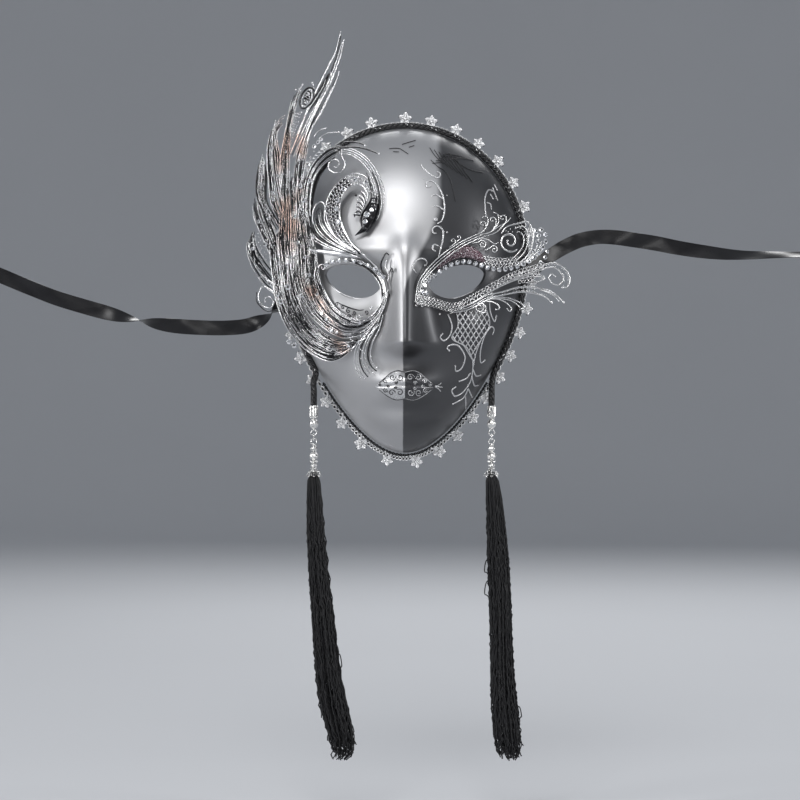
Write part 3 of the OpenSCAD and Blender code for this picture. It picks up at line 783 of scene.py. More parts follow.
def ribbon(side, route, turn):
    """A satin strip that twists along its route, with a thin woven edge and faint creases."""
    piece = Piece(f"{side}_tie_ribbon")
    steps = 8
    line = rounded(route, steps)
    turns = [v.x for v in rounded([(t, 0) for t in turn], steps)]
    count, across = len(line), 10
    rng = random.Random(11 if side == "left" else 12)
    creases = [(rng.uniform(0, FULL), rng.uniform(0.10, 0.22), rng.uniform(-0.8, 0.8)) for _ in range(5)]
    points = []
    for i, p in enumerate(line):
        run = (line[min(count - 1, i + 1)] - line[max(0, i - 1)]).normalized()
        wide = run.cross(FRONT).normalized()
        thick = wide.cross(run)
        a = math.radians(turns[i])
        w = wide * math.cos(a) + thick * math.sin(a)
        h = thick * math.cos(a) - wide * math.sin(a)
        twist = abs(turns[min(count - 1, i + 4)] - turns[max(0, i - 4)]) / 60
        for face_side in (1, -1):
            for j in range(across + 1):
                s = 2 * j / across - 1
                s = s if face_side > 0 else -s
                wave = 0.35 * (1 - s * s) * math.cos(0.35 * i + 1.3)
                for shift, pace, lean in creases:
                    wave += (0.06 + 0.16 * min(1, twist)) * math.sin(shift + pace * 1.4 * i + 3 * lean * s)
                selvedge = 0.10 if abs(s) > 0.75 else 0
                rise = wave + face_side * (0.5 * RIBBON_T * (0.45 + selvedge))
                points.append(p + w * (0.5 * RIBBON_W * s) + h * rise)
    ring = 2 * (across + 1)
    faces = []
    for i in range(count - 1):
        for j in range(ring):
            k = (j + 1) % ring
            faces.append((i * ring + j, i * ring + k, (i + 1) * ring + k, (i + 1) * ring + j))
    for i in (0, count - 1):
        for j in range(across):
            quad = (j, j + 1, ring - 2 - j, ring - 1 - j)
            faces.append(tuple(i * ring + v for v in (quad if i else quad[::-1])))
    piece.add(points, faces)
    made = piece.make([SATIN], "black_satin", nodes=[f"ribbon_{side}"], crease=70)
    end_knot = knot(side, line[-1], line[-8])
    path = [tuple(MM * c for c in p) for p in line]
    MM * length_of(route)
    return made


ribbon("left", LEFT_ROUTE, LEFT_TURN)
ribbon("right", RIGHT_ROUTE, RIGHT_TURN)


# ---- shell ----
def lid_limits(x):
    """The eye opening's lower and upper edge above a place across the face, or None outside it."""
    c = (abs(x) - EYE_X) / EYE_HALF_W
    if abs(c) >= 1:
        return None
    s = math.sqrt(1 - c * c) ** LID_ROUND
    middle = EYE_Z + EYE_SLANT * c
    return middle - EYE_BOTTOM * s, middle + EYE_TOP * s


def in_eye(x, z):
    limits = lid_limits(x)
    return limits is not None and limits[0] < z < limits[1]


def eye_outline(side):
    made = []
    for i in range(EYE_POINTS):
        a = FULL * i / EYE_POINTS
        c, s = math.cos(a), math.sin(a)
        lid = EYE_TOP if s > 0 else EYE_BOTTOM
        z = EYE_Z + EYE_SLANT * c + lid * math.copysign(abs(s) ** LID_ROUND, s)
        made.append((side * (EYE_X + EYE_HALF_W * c), z))
    return made


def shell():
    """The face as rings round its middle, open at the eyes, with its inside a little smaller."""
    piece = Piece("face_shell")
    rows, cols = SHELL_ROWS, SHELL_COLS
    flat = [(0.0, 0.0)]
    for i in range(1, rows + 1):
        u = math.sin(0.5 * math.pi * i / rows)
        for j in range(cols):
            x, z = rim(-360 * j / cols)
            flat.append((u * x, u * z))
    faces = [(0, 1 + (j + 1) % cols, 1 + j) for j in range(cols)]
    for i in range(rows - 1):
        a, b = 1 + i * cols, 1 + (i + 1) * cols
        for j in range(cols):
            k = (j + 1) % cols
            faces.append((a + j, a + k, b + k, b + j))
    inside = [in_eye(x, z) for x, z in flat]
    kept = [f for f in faces if not all(inside[v] for v in f)]
    outlines = {-1: eye_outline(-1), 1: eye_outline(1)}
    for v in {v for f in kept for v in f if inside[v]}:
        x, z = flat[v]
        near = outlines[-1 if x < 0 else 1]
        flat[v] = min(near, key=lambda p: (p[0] - x) ** 2 + (p[1] - z) ** 2)
    used = sorted({v for f in kept for v in f})
    index = {v: n for n, v in enumerate(used)}
    outer = [Vector((flat[v][0], -face(*flat[v]), flat[v][1])) for v in used]
    inner = [WALL_SHARE * p for p in outer]
    front = [tuple(index[v] for v in f) for f in kept]
    edges = {}
    for f in front:
        for a, b in zip(f, f[1:] + f[:1]):
            edges[(a, b)] = edges.get((a, b), 0) + 1
    border = [(a, b) for a, b in edges if (b, a) not in edges]
    n = len(outer)
    back = [tuple(n + v for v in reversed(f)) for f in front]
    walls = [(b, a, n + a, n + b) for a, b in border]
    piece.add(outer + inner, front + back + walls)
    piece.finishes = [0] * len(front) + [1] * len(back) + [0] * len(walls)
    return piece.make([LACQUER, LINING], "shell_lacquer", nodes=["shell"], crease=50)


def felt_patch(side):
    """A fluffy-edged felt pad glued over the ribbon's inner end."""
    name = "left" if side < 0 else "right"
    node = f"ribbon_patch_{name}"
    piece = Piece(f"ribbon_pad_{name}")
    low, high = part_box(node)
    centre = [HALF_IN_MM * (a + b) for a, b in zip(low, high)]
    half = [HALF_IN_MM * (b - a) for a, b in zip(low, high)]
    rng = random.Random(40 + side)
    rows, cols = 14, 22
    points = []
    for layer in (-1, 1):
        for i in range(rows + 1):
            for j in range(cols + 1):
                v, w = 2 * i / rows - 1, 2 * j / cols - 1
                rim_lift = 1 - 0.5 * max(abs(v), abs(w)) ** 6
                fuzz = rng.uniform(-0.12, 0.12)
                points.append(Vector((
                    centre[0] + layer * half[0] * rim_lift + fuzz,
                    centre[1] + half[1] * v * (1 - 0.04 * w * w) + fuzz,
                    centre[2] + half[2] * w * (1 - 0.04 * v * v) + fuzz,
                )))
    sheet = (rows + 1) * (cols + 1)
    faces = []
    for layer in (0, 1):
        for i in range(rows):
            for j in range(cols):
                a = layer * sheet + i * (cols + 1) + j
                quad = (a, a + cols + 1, a + cols + 2, a + 1)
                faces.append(quad if layer else quad[::-1])
    rim_walk = border_walk(rows, cols)
    for a, b in zip(rim_walk, rim_walk[1:] + rim_walk[:1]):
        faces.append((a, b, sheet + b, sheet + a))
    piece.add(points, faces)
    return piece.make([FELT], "grey_felt", nodes=[node])


shell()
felt_patch(-1)
felt_patch(1)


# ---- edge trim ----
def drop_tail(side):
    """The rope's end, from the rim down into the top bead."""
    x = abs(DROP_X[side])
    sign = -1 if side == "left" else 1
    return [
        Vector((sign * (x + 0.4), -5.5, -62)), Vector((sign * (x + 0.1), -8.4, -68)),
        Vector((sign * x, DROP_Y, -73)), Vector((sign * x, DROP_Y, TUBE_TOP + 0.2)),
    ]


def twisted(piece, line, radius, strands, pitch, sides=8, painted_highlights=False):
    """Strands laid round one another along a line, with hair-thin pale lines of painted highlight along them
    if that is asked for.
    """
    count = len(line)
    reach = 0.0
    frames = []
    for i, p in enumerate(line):
        run = (line[min(count - 1, i + 1)] - line[max(0, i - 1)]).normalized()
        side = run.cross(FRONT)
        side = side.normalized() if side.length > 0.1 else Vector((1, 0, 0))
        if i:
            reach += (p - line[i - 1]).length
        frames.append((p, side, side.cross(run), reach))
    strand_r = STRAND_SHARE * radius
    for k in range(strands):
        path, outs = [], []
        for p, side, up, gone in frames:
            a = FULL * (k / strands + gone / pitch)
            off = side * math.cos(a) + up * math.sin(a)
            path.append(p + off * (radius - strand_r))
            outs.append(off)
        sweep(piece, path, outs, 2 * strand_r, 2 * strand_r, sides)
        if painted_highlights:
            # Pale lines just over each strand: painted highlights.
            for lean in (-0.45, 0.25):
                path, outs = [], []
                for p, side, up, gone in frames:
                    a = FULL * (k / strands + gone / pitch) + lean
                    off = side * math.cos(a) + up * math.sin(a)
                    path.append(p + off * (radius + 0.02))
                    outs.append(off)
                sweep(piece, path, outs, 0.2, 0.22, 4, 1)


def edge_rope():
    piece = Piece("twisted_edge_rope")
    crown = []
    for t in range(-ROPE_END, ROPE_END + 1, 7):
        x, z = rim_out(t, ROPE_R + 0.2)
        crown.append(Vector((x, ROPE_Y, z)))
    route = drop_tail("left")[::-1] + crown + drop_tail("right")
    line = evenly(route, 620)
    twisted(piece, line, ROPE_R * 1.18, 4, 15, 7, True)
    return piece.make([CORD_AND_LACE_SHADE, PAINTED_HIGHLIGHT_YARN], "black_cord", nodes=["edge_rope"])


def jaw_cord():
    piece = Piece("jaw_cord_twist")
    line = []
    for i in range(225):
        x, z = rim_out(124 + 0.5 * i, JAW_CORD_R + 0.3)
        line.append(Vector((x, JAW_CORD_Y, z)))
    twisted(piece, line, JAW_CORD_R, 2, 5)
    return piece.make([CORD_AND_LACE_SHADE], "black_cord", nodes=["jaw_cord"])


def flower_angles():
    """Places round the rim that stand one flower pitch apart."""
    places, t = [], 0.0
    while t <= 359 - 0.6 * FLOWER_PITCH / 2:
        places.append(t)
        x1, z1 = rim(t + 0.5)
        x0, z0 = rim(t)
        t += 0.5 * FLOWER_PITCH / math.hypot(x1 - x0, z1 - z0)
    return places


def lace_band():
    """Two threads that wave across each other over a dark strip of painted shade, just behind the rope."""
    piece = Piece("lace_chain_band")
    count, waves = 1080, 88
    for phase in (0, math.pi):
        line = []
        for i in range(count):
            t = 360 * i / count
            a = FULL * waves * i / count + phase
            x, z = rim_out(t, 3.9 + 1.05 * math.sin(a))
            line.append(Vector((x, -0.75 - 0.35 * math.cos(a), z)))
        sweep(piece, line, [FRONT] * count, 0.78, 0.7, 5, 0, True)
    # The dark strip under the threads is painted shade.
    bed = []
    for i in range(480):
        x, z = rim_out(0.75 * i, 3.8)
        bed.append(Vector((x, -0.3, z)))
    sweep(piece, bed, [FRONT] * 480, 2.3, 0.4, 5, 1, True)
    return piece.make([LACE, CORD_AND_LACE_SHADE], "silver_lace", nodes=["lace_band"])


def lace_flower(piece, t, rng):
    """Five plump petals of wound thread, each over a dark strip of painted shadow, a knotted middle and two
    stitches over the rope.
    """
    cx, cz = rim_out(t, 6.9)
    centre = Vector((cx, -1.2, cz))
    turn = math.radians(90 - t) + rng.uniform(-0.18, 0.18)
    size = rng.uniform(0.98, 1.12)
    for k in range(5):
        a = turn + FULL * k / 5
        way = Vector((math.cos(a), 0, math.sin(a)))
        side = Vector((-math.sin(a), 0, math.cos(a)))
        proud = rng.uniform(0.0, 0.5)
        loop = []
        for i in range(14):
            b = FULL * i / 14
            reach = (2.35 - 1.2 * math.cos(b)) * size
            rise = 0.3 - 0.3 * math.cos(b)
            loop.append(centre + way * reach + side * (0.95 * size * math.sin(b)) + FRONT * rise)
        sweep(piece, loop, [FRONT] * 14, 0.95, 1.0, 6, 0, True)
        # A dark strip behind each petal: painted shadow.
        shade = [centre + way * (0.4 + 0.78 * i) * size + FRONT * -0.5 for i in range(6)]
        sweep(piece, shade, [FRONT] * 6, 2.2, 0.4, 5, 1)
        ball(piece, centre + way * (3.4 * size) + FRONT * (0.8 + proud), 0.92)
        ball(piece, centre + way * (1.5 * size) + FRONT * (0.6 + proud), 0.62, 0, 7, 5)
        ball(piece, centre + way * (2.4 * size) + FRONT * (0.4 + proud), 0.74, 0, 7, 5)
        c = a + FULL / 10
        ball(piece, centre + Vector((math.cos(c), 0, math.sin(c))) * (2.3 * size), 0.45, 0, 6, 4)
    ball(piece, centre + FRONT * 0.9, 1.05, 0, 9, 6)
    for shift, low, high in ((-0.9, 4.6, 2.2), (1.0, 4.4, 1.6)):
        stitch = []
        for i in range(7):
            share = i / 6
            x, z = rim_out(t + shift + 2.1 * share, low + (high - low) * share)
            stitch.append(Vector((x, -1.6 - 3.9 * math.sin(0.5 * math.pi * share), z)))
        sweep(piece, stitch, [FRONT] * 7, 0.62, 0.5, 5)


def lace_flowers():
    piece = Piece("lace_rim_flowers")
    rng = random.Random(21)
    for t in flower_angles():
        lace_flower(piece, t, rng)
    return piece.make([LACE, CORD_AND_LACE_SHADE], "silver_lace", nodes=["lace_flowers"])


edge_rope()
jaw_cord()
lace_band()
lace_flowers()


# ---- tassel drops ----
def ring(piece, x, z, radius, facing):
    """A wire ring that faces the front or the side."""
    line, outs = [], []
    for i in range(28):
        a = FULL * i / 28
        flat = math.cos(a) * radius
        way = Vector((flat, 0, 0)) if facing == "front" else Vector((0, flat, 0))
        line.append(Vector((x, DROP_Y, z + radius * math.sin(a))) + way)
        outs.append(FRONT if facing == "front" else Vector((1, 0, 0)))
    sweep(piece, line, outs, 2 * WIRE_R, 2 * WIRE_R, 8, 0, True)


def granules(piece, x, z, radius, count, size, shift=0.0):
    """A collar of tiny balls round a bead."""
    for k in range(count):
        a = FULL * (k + shift) / count
        centre = Vector((x + radius * math.cos(a), DROP_Y + radius * math.sin(a), z))
        ball(piece, centre, size, 0, 6, 4)


def pin(piece, x, z0, z1):
    line = [Vector((x, DROP_Y, z0 + (z1 - z0) * i / 6)) for i in range(7)]
    sweep(piece, line, [FRONT] * 7, 2 * WIRE_R, 2 * WIRE_R, 8)


def barrel(piece, x, top, low, r_end, r_mid, flutes, depth):
    """A fluted bead with a lip at each end."""
    tall = top - low
    profile = [(0.55, top), (r_end * 0.8, top), (r_end, top - 0.05 * tall)]
    for i in range(13):
        s = i / 12
        r = r_end * 0.9 + (r_mid - r_end * 0.9) * math.sin(math.pi * s) ** 0.8
        profile.append((r, top - tall * (0.09 + 0.82 * s)))
    profile += [(r_end, low + 0.05 * tall), (r_end * 0.8, low), (0.55, low)]
    lathe(piece, x, DROP_Y, profile, 48, flutes, depth)


def drop(side):
    x = DROP_X[side]
    link, low = f"{side}_link", f"{side}_drop"
    eye = Piece(f"{side}_eye_pin_wire")
    ring(eye, x, EYE_RING_Z, RING_R, "front")
    pin(eye, x, EYE_RING_Z + RING_R, TUBE_TOP - 1)
    eye.make([BEAD], "bead_silver", "root", [f"{side}_eye_pin"])
    tube = Piece(f"{side}_fluted_tube_bead")
    profile = [(0.7, TUBE_TOP), (2.1, TUBE_TOP), (2.5, TUBE_TOP - 0.4), (2.5, TUBE_TOP - 1.0)]
    profile += [(2.75, TUBE_TOP - 1.3), (2.8, TUBE_TOP - 1.6)]
    profile += [(2.8, TUBE_BOTTOM + 1.6), (2.75, TUBE_BOTTOM + 1.3)]
    profile += [(2.5, TUBE_BOTTOM + 1.0), (2.5, TUBE_BOTTOM + 0.4), (2.1, TUBE_BOTTOM), (0.7, TUBE_BOTTOM)]
    lathe(tube, x, DROP_Y, profile, 48, 12, 0.05)
    for level in (TUBE_TOP - 1.2, TUBE_BOTTOM + 1.2):
        granules(tube, x, level, 2.75, 14, 0.34)
    for level, shift in ((-80.2, 0), (-81.85, 0.5), (-83.5, 0)):
        granules(tube, x, level, 2.7, 9, 0.40, shift)
    tube.make([BEAD], "bead_silver", "root", [f"{side}_tube_bead"], 40)
    cone = Piece(f"{side}_double_cone_bead")
    barrel(cone, x, TUBE_BOTTOM - 0.3, CONE_BOTTOM, 1.6, 3.0, 10, 0.05)
    granules(cone, x, 0.5 * (TUBE_BOTTOM - 0.3 + CONE_BOTTOM), 2.9, 16, 0.34)
    granules(cone, x, TUBE_BOTTOM - 1.6, 2.0, 10, 0.30)
    granules(cone, x, CONE_BOTTOM + 1.3, 2.0, 10, 0.30)
    cone.make([BEAD], "bead_silver", "root", [f"{side}_cone_bead"], 40)
    loop = Piece(f"{side}_link_ring_wire")
    ring(loop, x, LINK_RING_Z, LINK_R, "side")
    loop.make([BEAD], "bead_silver", link, [f"{side}_link_ring"])
    stem = Piece(f"{side}_drop_pin_wire")
    ring(stem, x, DROP_RING_Z, RING_R, "front")
    pin(stem, x, DROP_RING_Z - RING_R, CAP_TOP - 1)
    stem.make([BEAD], "bead_silver", low, [f"{side}_drop_pin"])
    row = Piece(f"{side}_bead_row")
    barrel(row, x, BEAD_TOP, BEAD_TOP - 4, 1.5, 2.25, 8, 0.07)
    granules(row, x, BEAD_TOP - 2, 2.2, 12, 0.28)
    barrel(row, x, BEAD_TOP - 4.3, BEAD_TOP - 10, 1.6, 2.8, 10, 0.06)
    granules(row, x, BEAD_TOP - 5.8, 2.45, 12, 0.30)
    granules(row, x, BEAD_TOP - 7.15, 2.8, 14, 0.32, 0.5)
    granules(row, x, BEAD_TOP - 8.5, 2.45, 12, 0.30)
    barrel(row, x, BEAD_TOP - 11.7, CAP_TOP + 0.2, 1.5, 2.35, 8, 0.06)
    granules(row, x, BEAD_TOP - 13.3, 2.3, 12, 0.28)
    row.make([BEAD], "bead_silver", low, [f"{side}_drop_beads"], 40)
    disc = Piece(f"{side}_beaded_spacer")
    lathe(disc, x, DROP_Y, [
        (0.7, BEAD_TOP - 10.3), (2.0, BEAD_TOP - 10.3), (2.7, BEAD_TOP - 10.6),
        (2.7, BEAD_TOP - 11.1), (2.0, BEAD_TOP - 11.4), (0.7, BEAD_TOP - 11.4)], 24)
    granules(disc, x, BEAD_TOP - 10.85, 2.7, 16, 0.36)
    disc.make([BEAD], "bead_silver", low, [f"{side}_spacer"], 40)
    cap(side, x, low)


def cap(side, x, body):
    """A filigree cap: a small dome and eight flared petals edged with granules."""
    piece = Piece(f"{side}_filigree_cap")
    lathe(piece, x, DROP_Y, [
        (0.7, CAP_TOP), (1.8, CAP_TOP - 0.1), (2.3, CAP_TOP - 0.6), (2.8, CAP_TOP - 1.5),
        (3.3, CAP_TOP - 2.4), (3.1, CAP_TOP - 2.5), (2.6, CAP_TOP - 1.7), (2.0, CAP_TOP - 1.0)], 40, 8, 0.04)
    granules(piece, x, CAP_TOP - 0.35, 2.05, 10, 0.30)
    for k in range(8):
        a = FULL * k / 8
        way = Vector((math.cos(a), math.sin(a), 0))
        side_way = Vector((-math.sin(a), math.cos(a), 0))
        outline, outs = [], []
        for i in range(18):
            b = FULL * i / 18
            down = 2.0 - 1.95 * math.cos(b)
            reach = 3.0 + 0.42 * down + 0.05 * down * down
            spread = 1.25 * math.sin(b) * (0.75 + 0.11 * down)
            outline.append(Vector((x, DROP_Y, CAP_TOP - 1.7 - down)) + way * reach + side_way * spread)
            outs.append((way + Vector((0, 0, 0.4))).normalized())
        sweep(piece, outline, outs, 0.34, 0.34, 5, 0, True)
        for i in range(4):
            down = 0.8 + 0.85 * i
            reach = 3.0 + 0.42 * down + 0.05 * down * down
            centre = Vector((x, DROP_Y, CAP_TOP - 1.7 - down)) + way * reach
            ball(piece, centre, 0.34 - 0.02 * i, 0, 6, 4)
    piece.make([BEAD], "bead_silver", body, [f"{side}_tassel_cap"], 40)


# Down each tassel: share of its length, shift to the side, half width and half depth.
HANG = {
    "left": [
        (0, 0, 2.2, 2.2), (0.015, 0, 3.1, 3.1), (0.03, 0, 4.6, 4.4), (0.09, 0.4, 5.6, 5),
        (0.2, 1.2, 6.6, 5.6), (0.34, 3.2, 7.6, 6), (0.46, 5.4, 8.4, 6.4), (0.58, 7.6, 9.2, 6.8),
        (0.7, 10, 10, 7), (0.8, 13.2, 11, 7.2), (0.9, 18, 10.4, 7), (0.96, 19.6, 8.4, 6.2), (1, 17, 5.4, 5)],
    "right": [
        (0, 0, 2.2, 2.2), (0.015, 0, 3.1, 3.1), (0.03, 0.6, 4.8, 4.4), (0.09, 1.8, 6, 5),
        (0.2, 3.4, 7.2, 5.4), (0.3, 4.6, 8, 5.8), (0.42, 5.8, 8.2, 6), (0.55, 6.6, 8.2, 6.2),
        (0.68, 7.4, 8.8, 6.6), (0.8, 8.8, 10, 7), (0.9, 10.6, 10.4, 7), (0.96, 12, 9, 6.2), (1, 12.8, 6, 5)],
}


def hang_at(levels, share):
    """The shift, half width and half depth a share of the way down."""
    for a, b in zip(levels, levels[1:]):
        if share <= b[0]:
            s = (share - a[0]) / (b[0] - a[0])
            return [a[n] + (b[n] - a[n]) * s for n in (1, 2, 3)]
    return list(levels[-1][1:])


def tassel(side):
    """Fine wavy threads, ragged and curled at their ends, with a few pulled loops."""
    piece = Piece(f"{side}_tassel_threads")
    levels = HANG[side]
    rng = random.Random(5 if side == "left" else 6)
    for k in range(THREADS):
        spot = math.sqrt((k + 0.5) / THREADS) * 0.90
        spin = k * GOLDEN_TURN + rng.uniform(-0.2, 0.2)
        reach = rng.uniform(0.90, 0.985) if k % 9 else rng.uniform(0.74, 0.90)
        wave = [(rng.uniform(0.15, 0.55), rng.uniform(5, 16), rng.uniform(0, FULL)) for _ in range(4)]
        swirl = rng.uniform(-1.1, 1.1)
        curl = rng.uniform(0.6, 1.9)
        curl_turn = rng.uniform(0, FULL)
        line = []
        for i in range(THREAD_POINTS):
            s = reach * i / (THREAD_POINTS - 1)
            shift, half_w, half_d = hang_at(levels, s)
            a = spin + swirl * s
            free = ease(s * 4)
            wx = sum(w * math.sin(f * 2.2 * s * 6 + p) for w, f, p in wave[:2]) * free
            wy = sum(w * math.sin(f * 2.2 * s * 6 + p) for w, f, p in wave[2:]) * free
            end = ease((s - reach + 0.07) / 0.07)
            wx += end * curl * math.sin(curl_turn + 9 * end)
            wy += end * curl * math.cos(curl_turn + 9 * end)
            px = DROP_X[side] + shift + half_w * spot * math.cos(a) + wx
            py = DROP_Y + half_d * spot * math.sin(a) + wy
            line.append(Vector((px, py, TASSEL_TOP - TASSEL_L * s + 0.6 * end * math.sin(curl_turn * 3))))
        sweep(piece, line, [FRONT] * THREAD_POINTS, 0.86, 0.8, 5)
    loops = [(0.30, 0.36, -1, 5), (0.37, 0.44, -1, 6)] if side == "right" else [(0.62, 0.68, 1, 3)]
    if side == "right":
        loops.append((0.80, 0.85, 1, 4))
    for start, stop, way, proud in loops:
        line = []
        for i in range(26):
            s = i / 25
            level = start + (stop - start) * s
            shift, half_w, half_d = hang_at(levels, level)
            puff = math.sin(math.pi * s)
            px = DROP_X[side] + shift + way * (half_w * 0.86 + proud * puff * 0.55)
            py = DROP_Y - half_d * 0.45 + 0.8 * math.sin(5 * s)
            line.append(Vector((px, py, TASSEL_TOP - TASSEL_L * level + 1.4 * math.sin(9 * s))))
        sweep(piece, line, [FRONT] * 26, 0.8, 0.75, 5)
    return piece.make([RAYON], "black_rayon", f"{side}_drop", [f"{side}_tassel"])


for drop_side in ("left", "right"):
    drop(drop_side)
    tassel(drop_side)


# ---- filigree ----
GUIDE_POINTS = 26
STROKE_POINTS = 60
RING_POINTS = 9
CURL_POINTS = 22


def flat_points(points, count):
    return [(p.x, p.y) for p in evenly(points, count)]


def blended(a, b, share, count=GUIDE_POINTS):
    """A guide line part of the way from one guide to another."""
    first, last = flat_points(a, count), flat_points(b, count)
    return [(p[0] + (q[0] - p[0]) * share, p[1] + (q[1] - p[1]) * share) for p, q in zip(first, last)]


class Filigree(Piece):
    """A piece made of lines, balls and plates that lie on one of the sheets."""

    def __init__(self, name, kind, rng=None):
        super().__init__(name)
        self.kind = kind
        self.rng = rng

    def wire(self, points, width=0.9, height=0.7, lift=0.0, finish=0, tip=0.0, step=1.5, taper=0.45):
        """A line of cut metal, thinner at its ends, with a ball on its tip if tip is given."""
        count = max(5, int(length_of(points) / step) + 1)
        flat = evenly(points, count)
        line = [on_sheet(self.kind, p.x, p.y, lift) for p in flat]
        outs = [out_of(self.kind, p.x, p.y) for p in flat]

        def swell(s):
            return width * (1 - taper + taper * min(1, 5 * s, 4 * (1 - s)))

        sweep(self, line, outs, swell, height, 6, finish)
        if tip:
            ball(self, line[-1], tip, finish)

    def curl(self, cx, cz, size, start, turns, width=0.7, lift=0.6, finish=0, lead=(), tip=0.4, close=0.22):
        """A scroll that winds in on itself from the end of a leading line."""
        line = list(lead) + spiral(cx, cz, size, size * close, start, start + turns, CURL_POINTS)
        self.wire(line, width, 0.7, lift, finish, tip, max(0.5, size * 0.25))

    def bundle(self, a, b, count, width=0.85, lift=0.7, tip=0.0, trim=0.10, under=0.0, dark=()):
        """Filaments side by side from one guide to another, some dark, over dark beds: painted shade and dark
        reflection.
        """
        for k in range(count):
            share = k / max(1, count - 1)
            line = blended(a, b, share)
            start = int(self.rng.uniform(0, trim) * GUIDE_POINTS)
            stop = GUIDE_POINTS - int(self.rng.uniform(0, trim) * GUIDE_POINTS)
            finish = 1 if k in dark else 0
            rise = lift + self.rng.uniform(-0.3, 0.4)
            wide = width * self.rng.uniform(0.6, 1.1) * (1.6 if finish else 1)
            self.wire(line[start:stop], wide, 0.75, rise, finish, tip, 1.8)
            # Dark wires in the gaps between filaments: painted shade.
            if under and k < count - 1:
                bed = blended(a, b, share + 0.5 / (count - 1))
                self.wire(bed[1:-1], under, 0.45, 0.0, 1, 0, 2.2)

    def dashes(self, a, b, count, long=(3, 8), width=(0.4, 0.75), lift=1.35, stray=0.05, dark=0.2):
        """Short strokes scattered over a plume, like engraving, thick in the middle; the dark ones paint
        shade.
        """
        rng = self.rng
        for _ in range(count):
            share = rng.uniform(0.02, 0.98)
            size = rng.randint(*long)
            start = rng.randint(0, STROKE_POINTS - 1 - size)
            kept = slice(start, start + size + 1)
            first = blended(a, b, share, STROKE_POINTS)[kept]
            leaning = between(0, 1, share + rng.uniform(-stray, stray))
            second = blended(a, b, leaning, STROKE_POINTS)[kept]
            line = []
            for i, (p, q) in enumerate(zip(first, second)):
                s = i / size
                line.append((p[0] + (q[0] - p[0]) * s, p[1] + (q[1] - p[1]) * s))
            # A share of the strokes is dark: painted shade and dark reflection among the bright ones.
            finish = 1 if rng.random() < dark else 0
            knob = 0.34 if not finish and rng.random() < 0.35 else 0.0
            wide, rise = rng.uniform(*width), lift + rng.uniform(-0.2, 0.35)
            self.wire(line, wide, 0.6, rise, finish, knob, 1.2, 0.8)

    def beading(self, a, b, rows, step, size, lift=1.0, finish=0, keep=0.85):
        """Rows of seed balls between two guides."""
        rng = self.rng
        count = max(3, int(0.5 * (length_of(a) + length_of(b)) / step))
        for r in range(rows):
            for x, z in blended(a, b, (r + 0.5) / rows, count):
                if rng.random() > keep:
                    continue
                x += rng.uniform(-0.3, 0.3)
                z += rng.uniform(-0.3, 0.3)
                centre = on_sheet(self.kind, x, z, lift + rng.uniform(-0.2, 0.3))
                ball(self, centre, size * rng.uniform(0.8, 1.25), finish, 6, 4)

    def plate(self, a, b, thick=0.5, lift=0.3, finish=0, along=30, across=4, crown=0.0):
        """A sheet of metal between two guides."""
        first, last = flat_points(a, along), flat_points(b, along)
        points = []
        for layer in (0, 1):
            for p, q in zip(first, last):
                for j in range(across + 1):
                    s = j / across
                    x = p[0] + (q[0] - p[0]) * s
                    z = p[1] + (q[1] - p[1]) * s
                    rise = lift + (0 if layer else thick + crown * math.sin(math.pi * s))
                    points.append(on_sheet(self.kind, x, z, rise))
        n, w = along * (across + 1), across + 1
        faces = []
        for i in range(along - 1):
            for j in range(across):
                v = i * w + j
                faces.append((v, v + w, v + w + 1, v + 1))
                faces.append((n + v, n + v + 1, n + v + w + 1, n + v + w))
        edge = border_walk(along - 1, across)
        for p, q in zip(edge, edge[1:] + edge[:1]):
            faces.append((p, n + p, n + q, q))
        x0, z0 = first[0]
        x1, z1 = first[-1]
        if (x1 - x0) * (last[0][1] - z0) < (z1 - z0) * (last[0][0] - x0):
            faces = [tuple(reversed(f)) for f in faces]
        self.add(points, faces, finish)

    def loops(self, a, b, rows, cell, width=0.5, lift=0.5):
        """A net of small rings, row beside row."""
        count = max(2, int(0.5 * (length_of(a) + length_of(b)) / cell))
        for r in range(rows):
            line = blended(a, b, (r + 0.5) / rows, 2 * count + 1)
            for x, z in line[r % 2::2]:
                size = cell * 0.46 * self.rng.uniform(0.92, 1.08)
                points = []
                for k in range(RING_POINTS):
                    a0 = FULL * k / RING_POINTS
                    spot = (x + size * math.cos(a0), z + size * math.sin(a0))
                    points.append(on_sheet(self.kind, *spot, lift))
                sweep(self, points, [out_of(self.kind, x, z)] * RING_POINTS, width, 0.5, 4, 0, True)


def stones(name, kind, spots, lift, nodes, rng_seed):
    piece = Piece(name)
    rng = random.Random(rng_seed)
    for x, z, r in spots:
        out = out_of(kind, x, z)
        tilt = Vector((rng.uniform(-0.12, 0.12), 0, rng.uniform(-0.12, 0.12)))
        chaton(piece, on_sheet(kind, x, z, lift), (out + tilt).normalized(), r, rng.uniform(0, FULL))
    return piece.make([STONE, CHROME], "rhinestone", nodes=nodes)


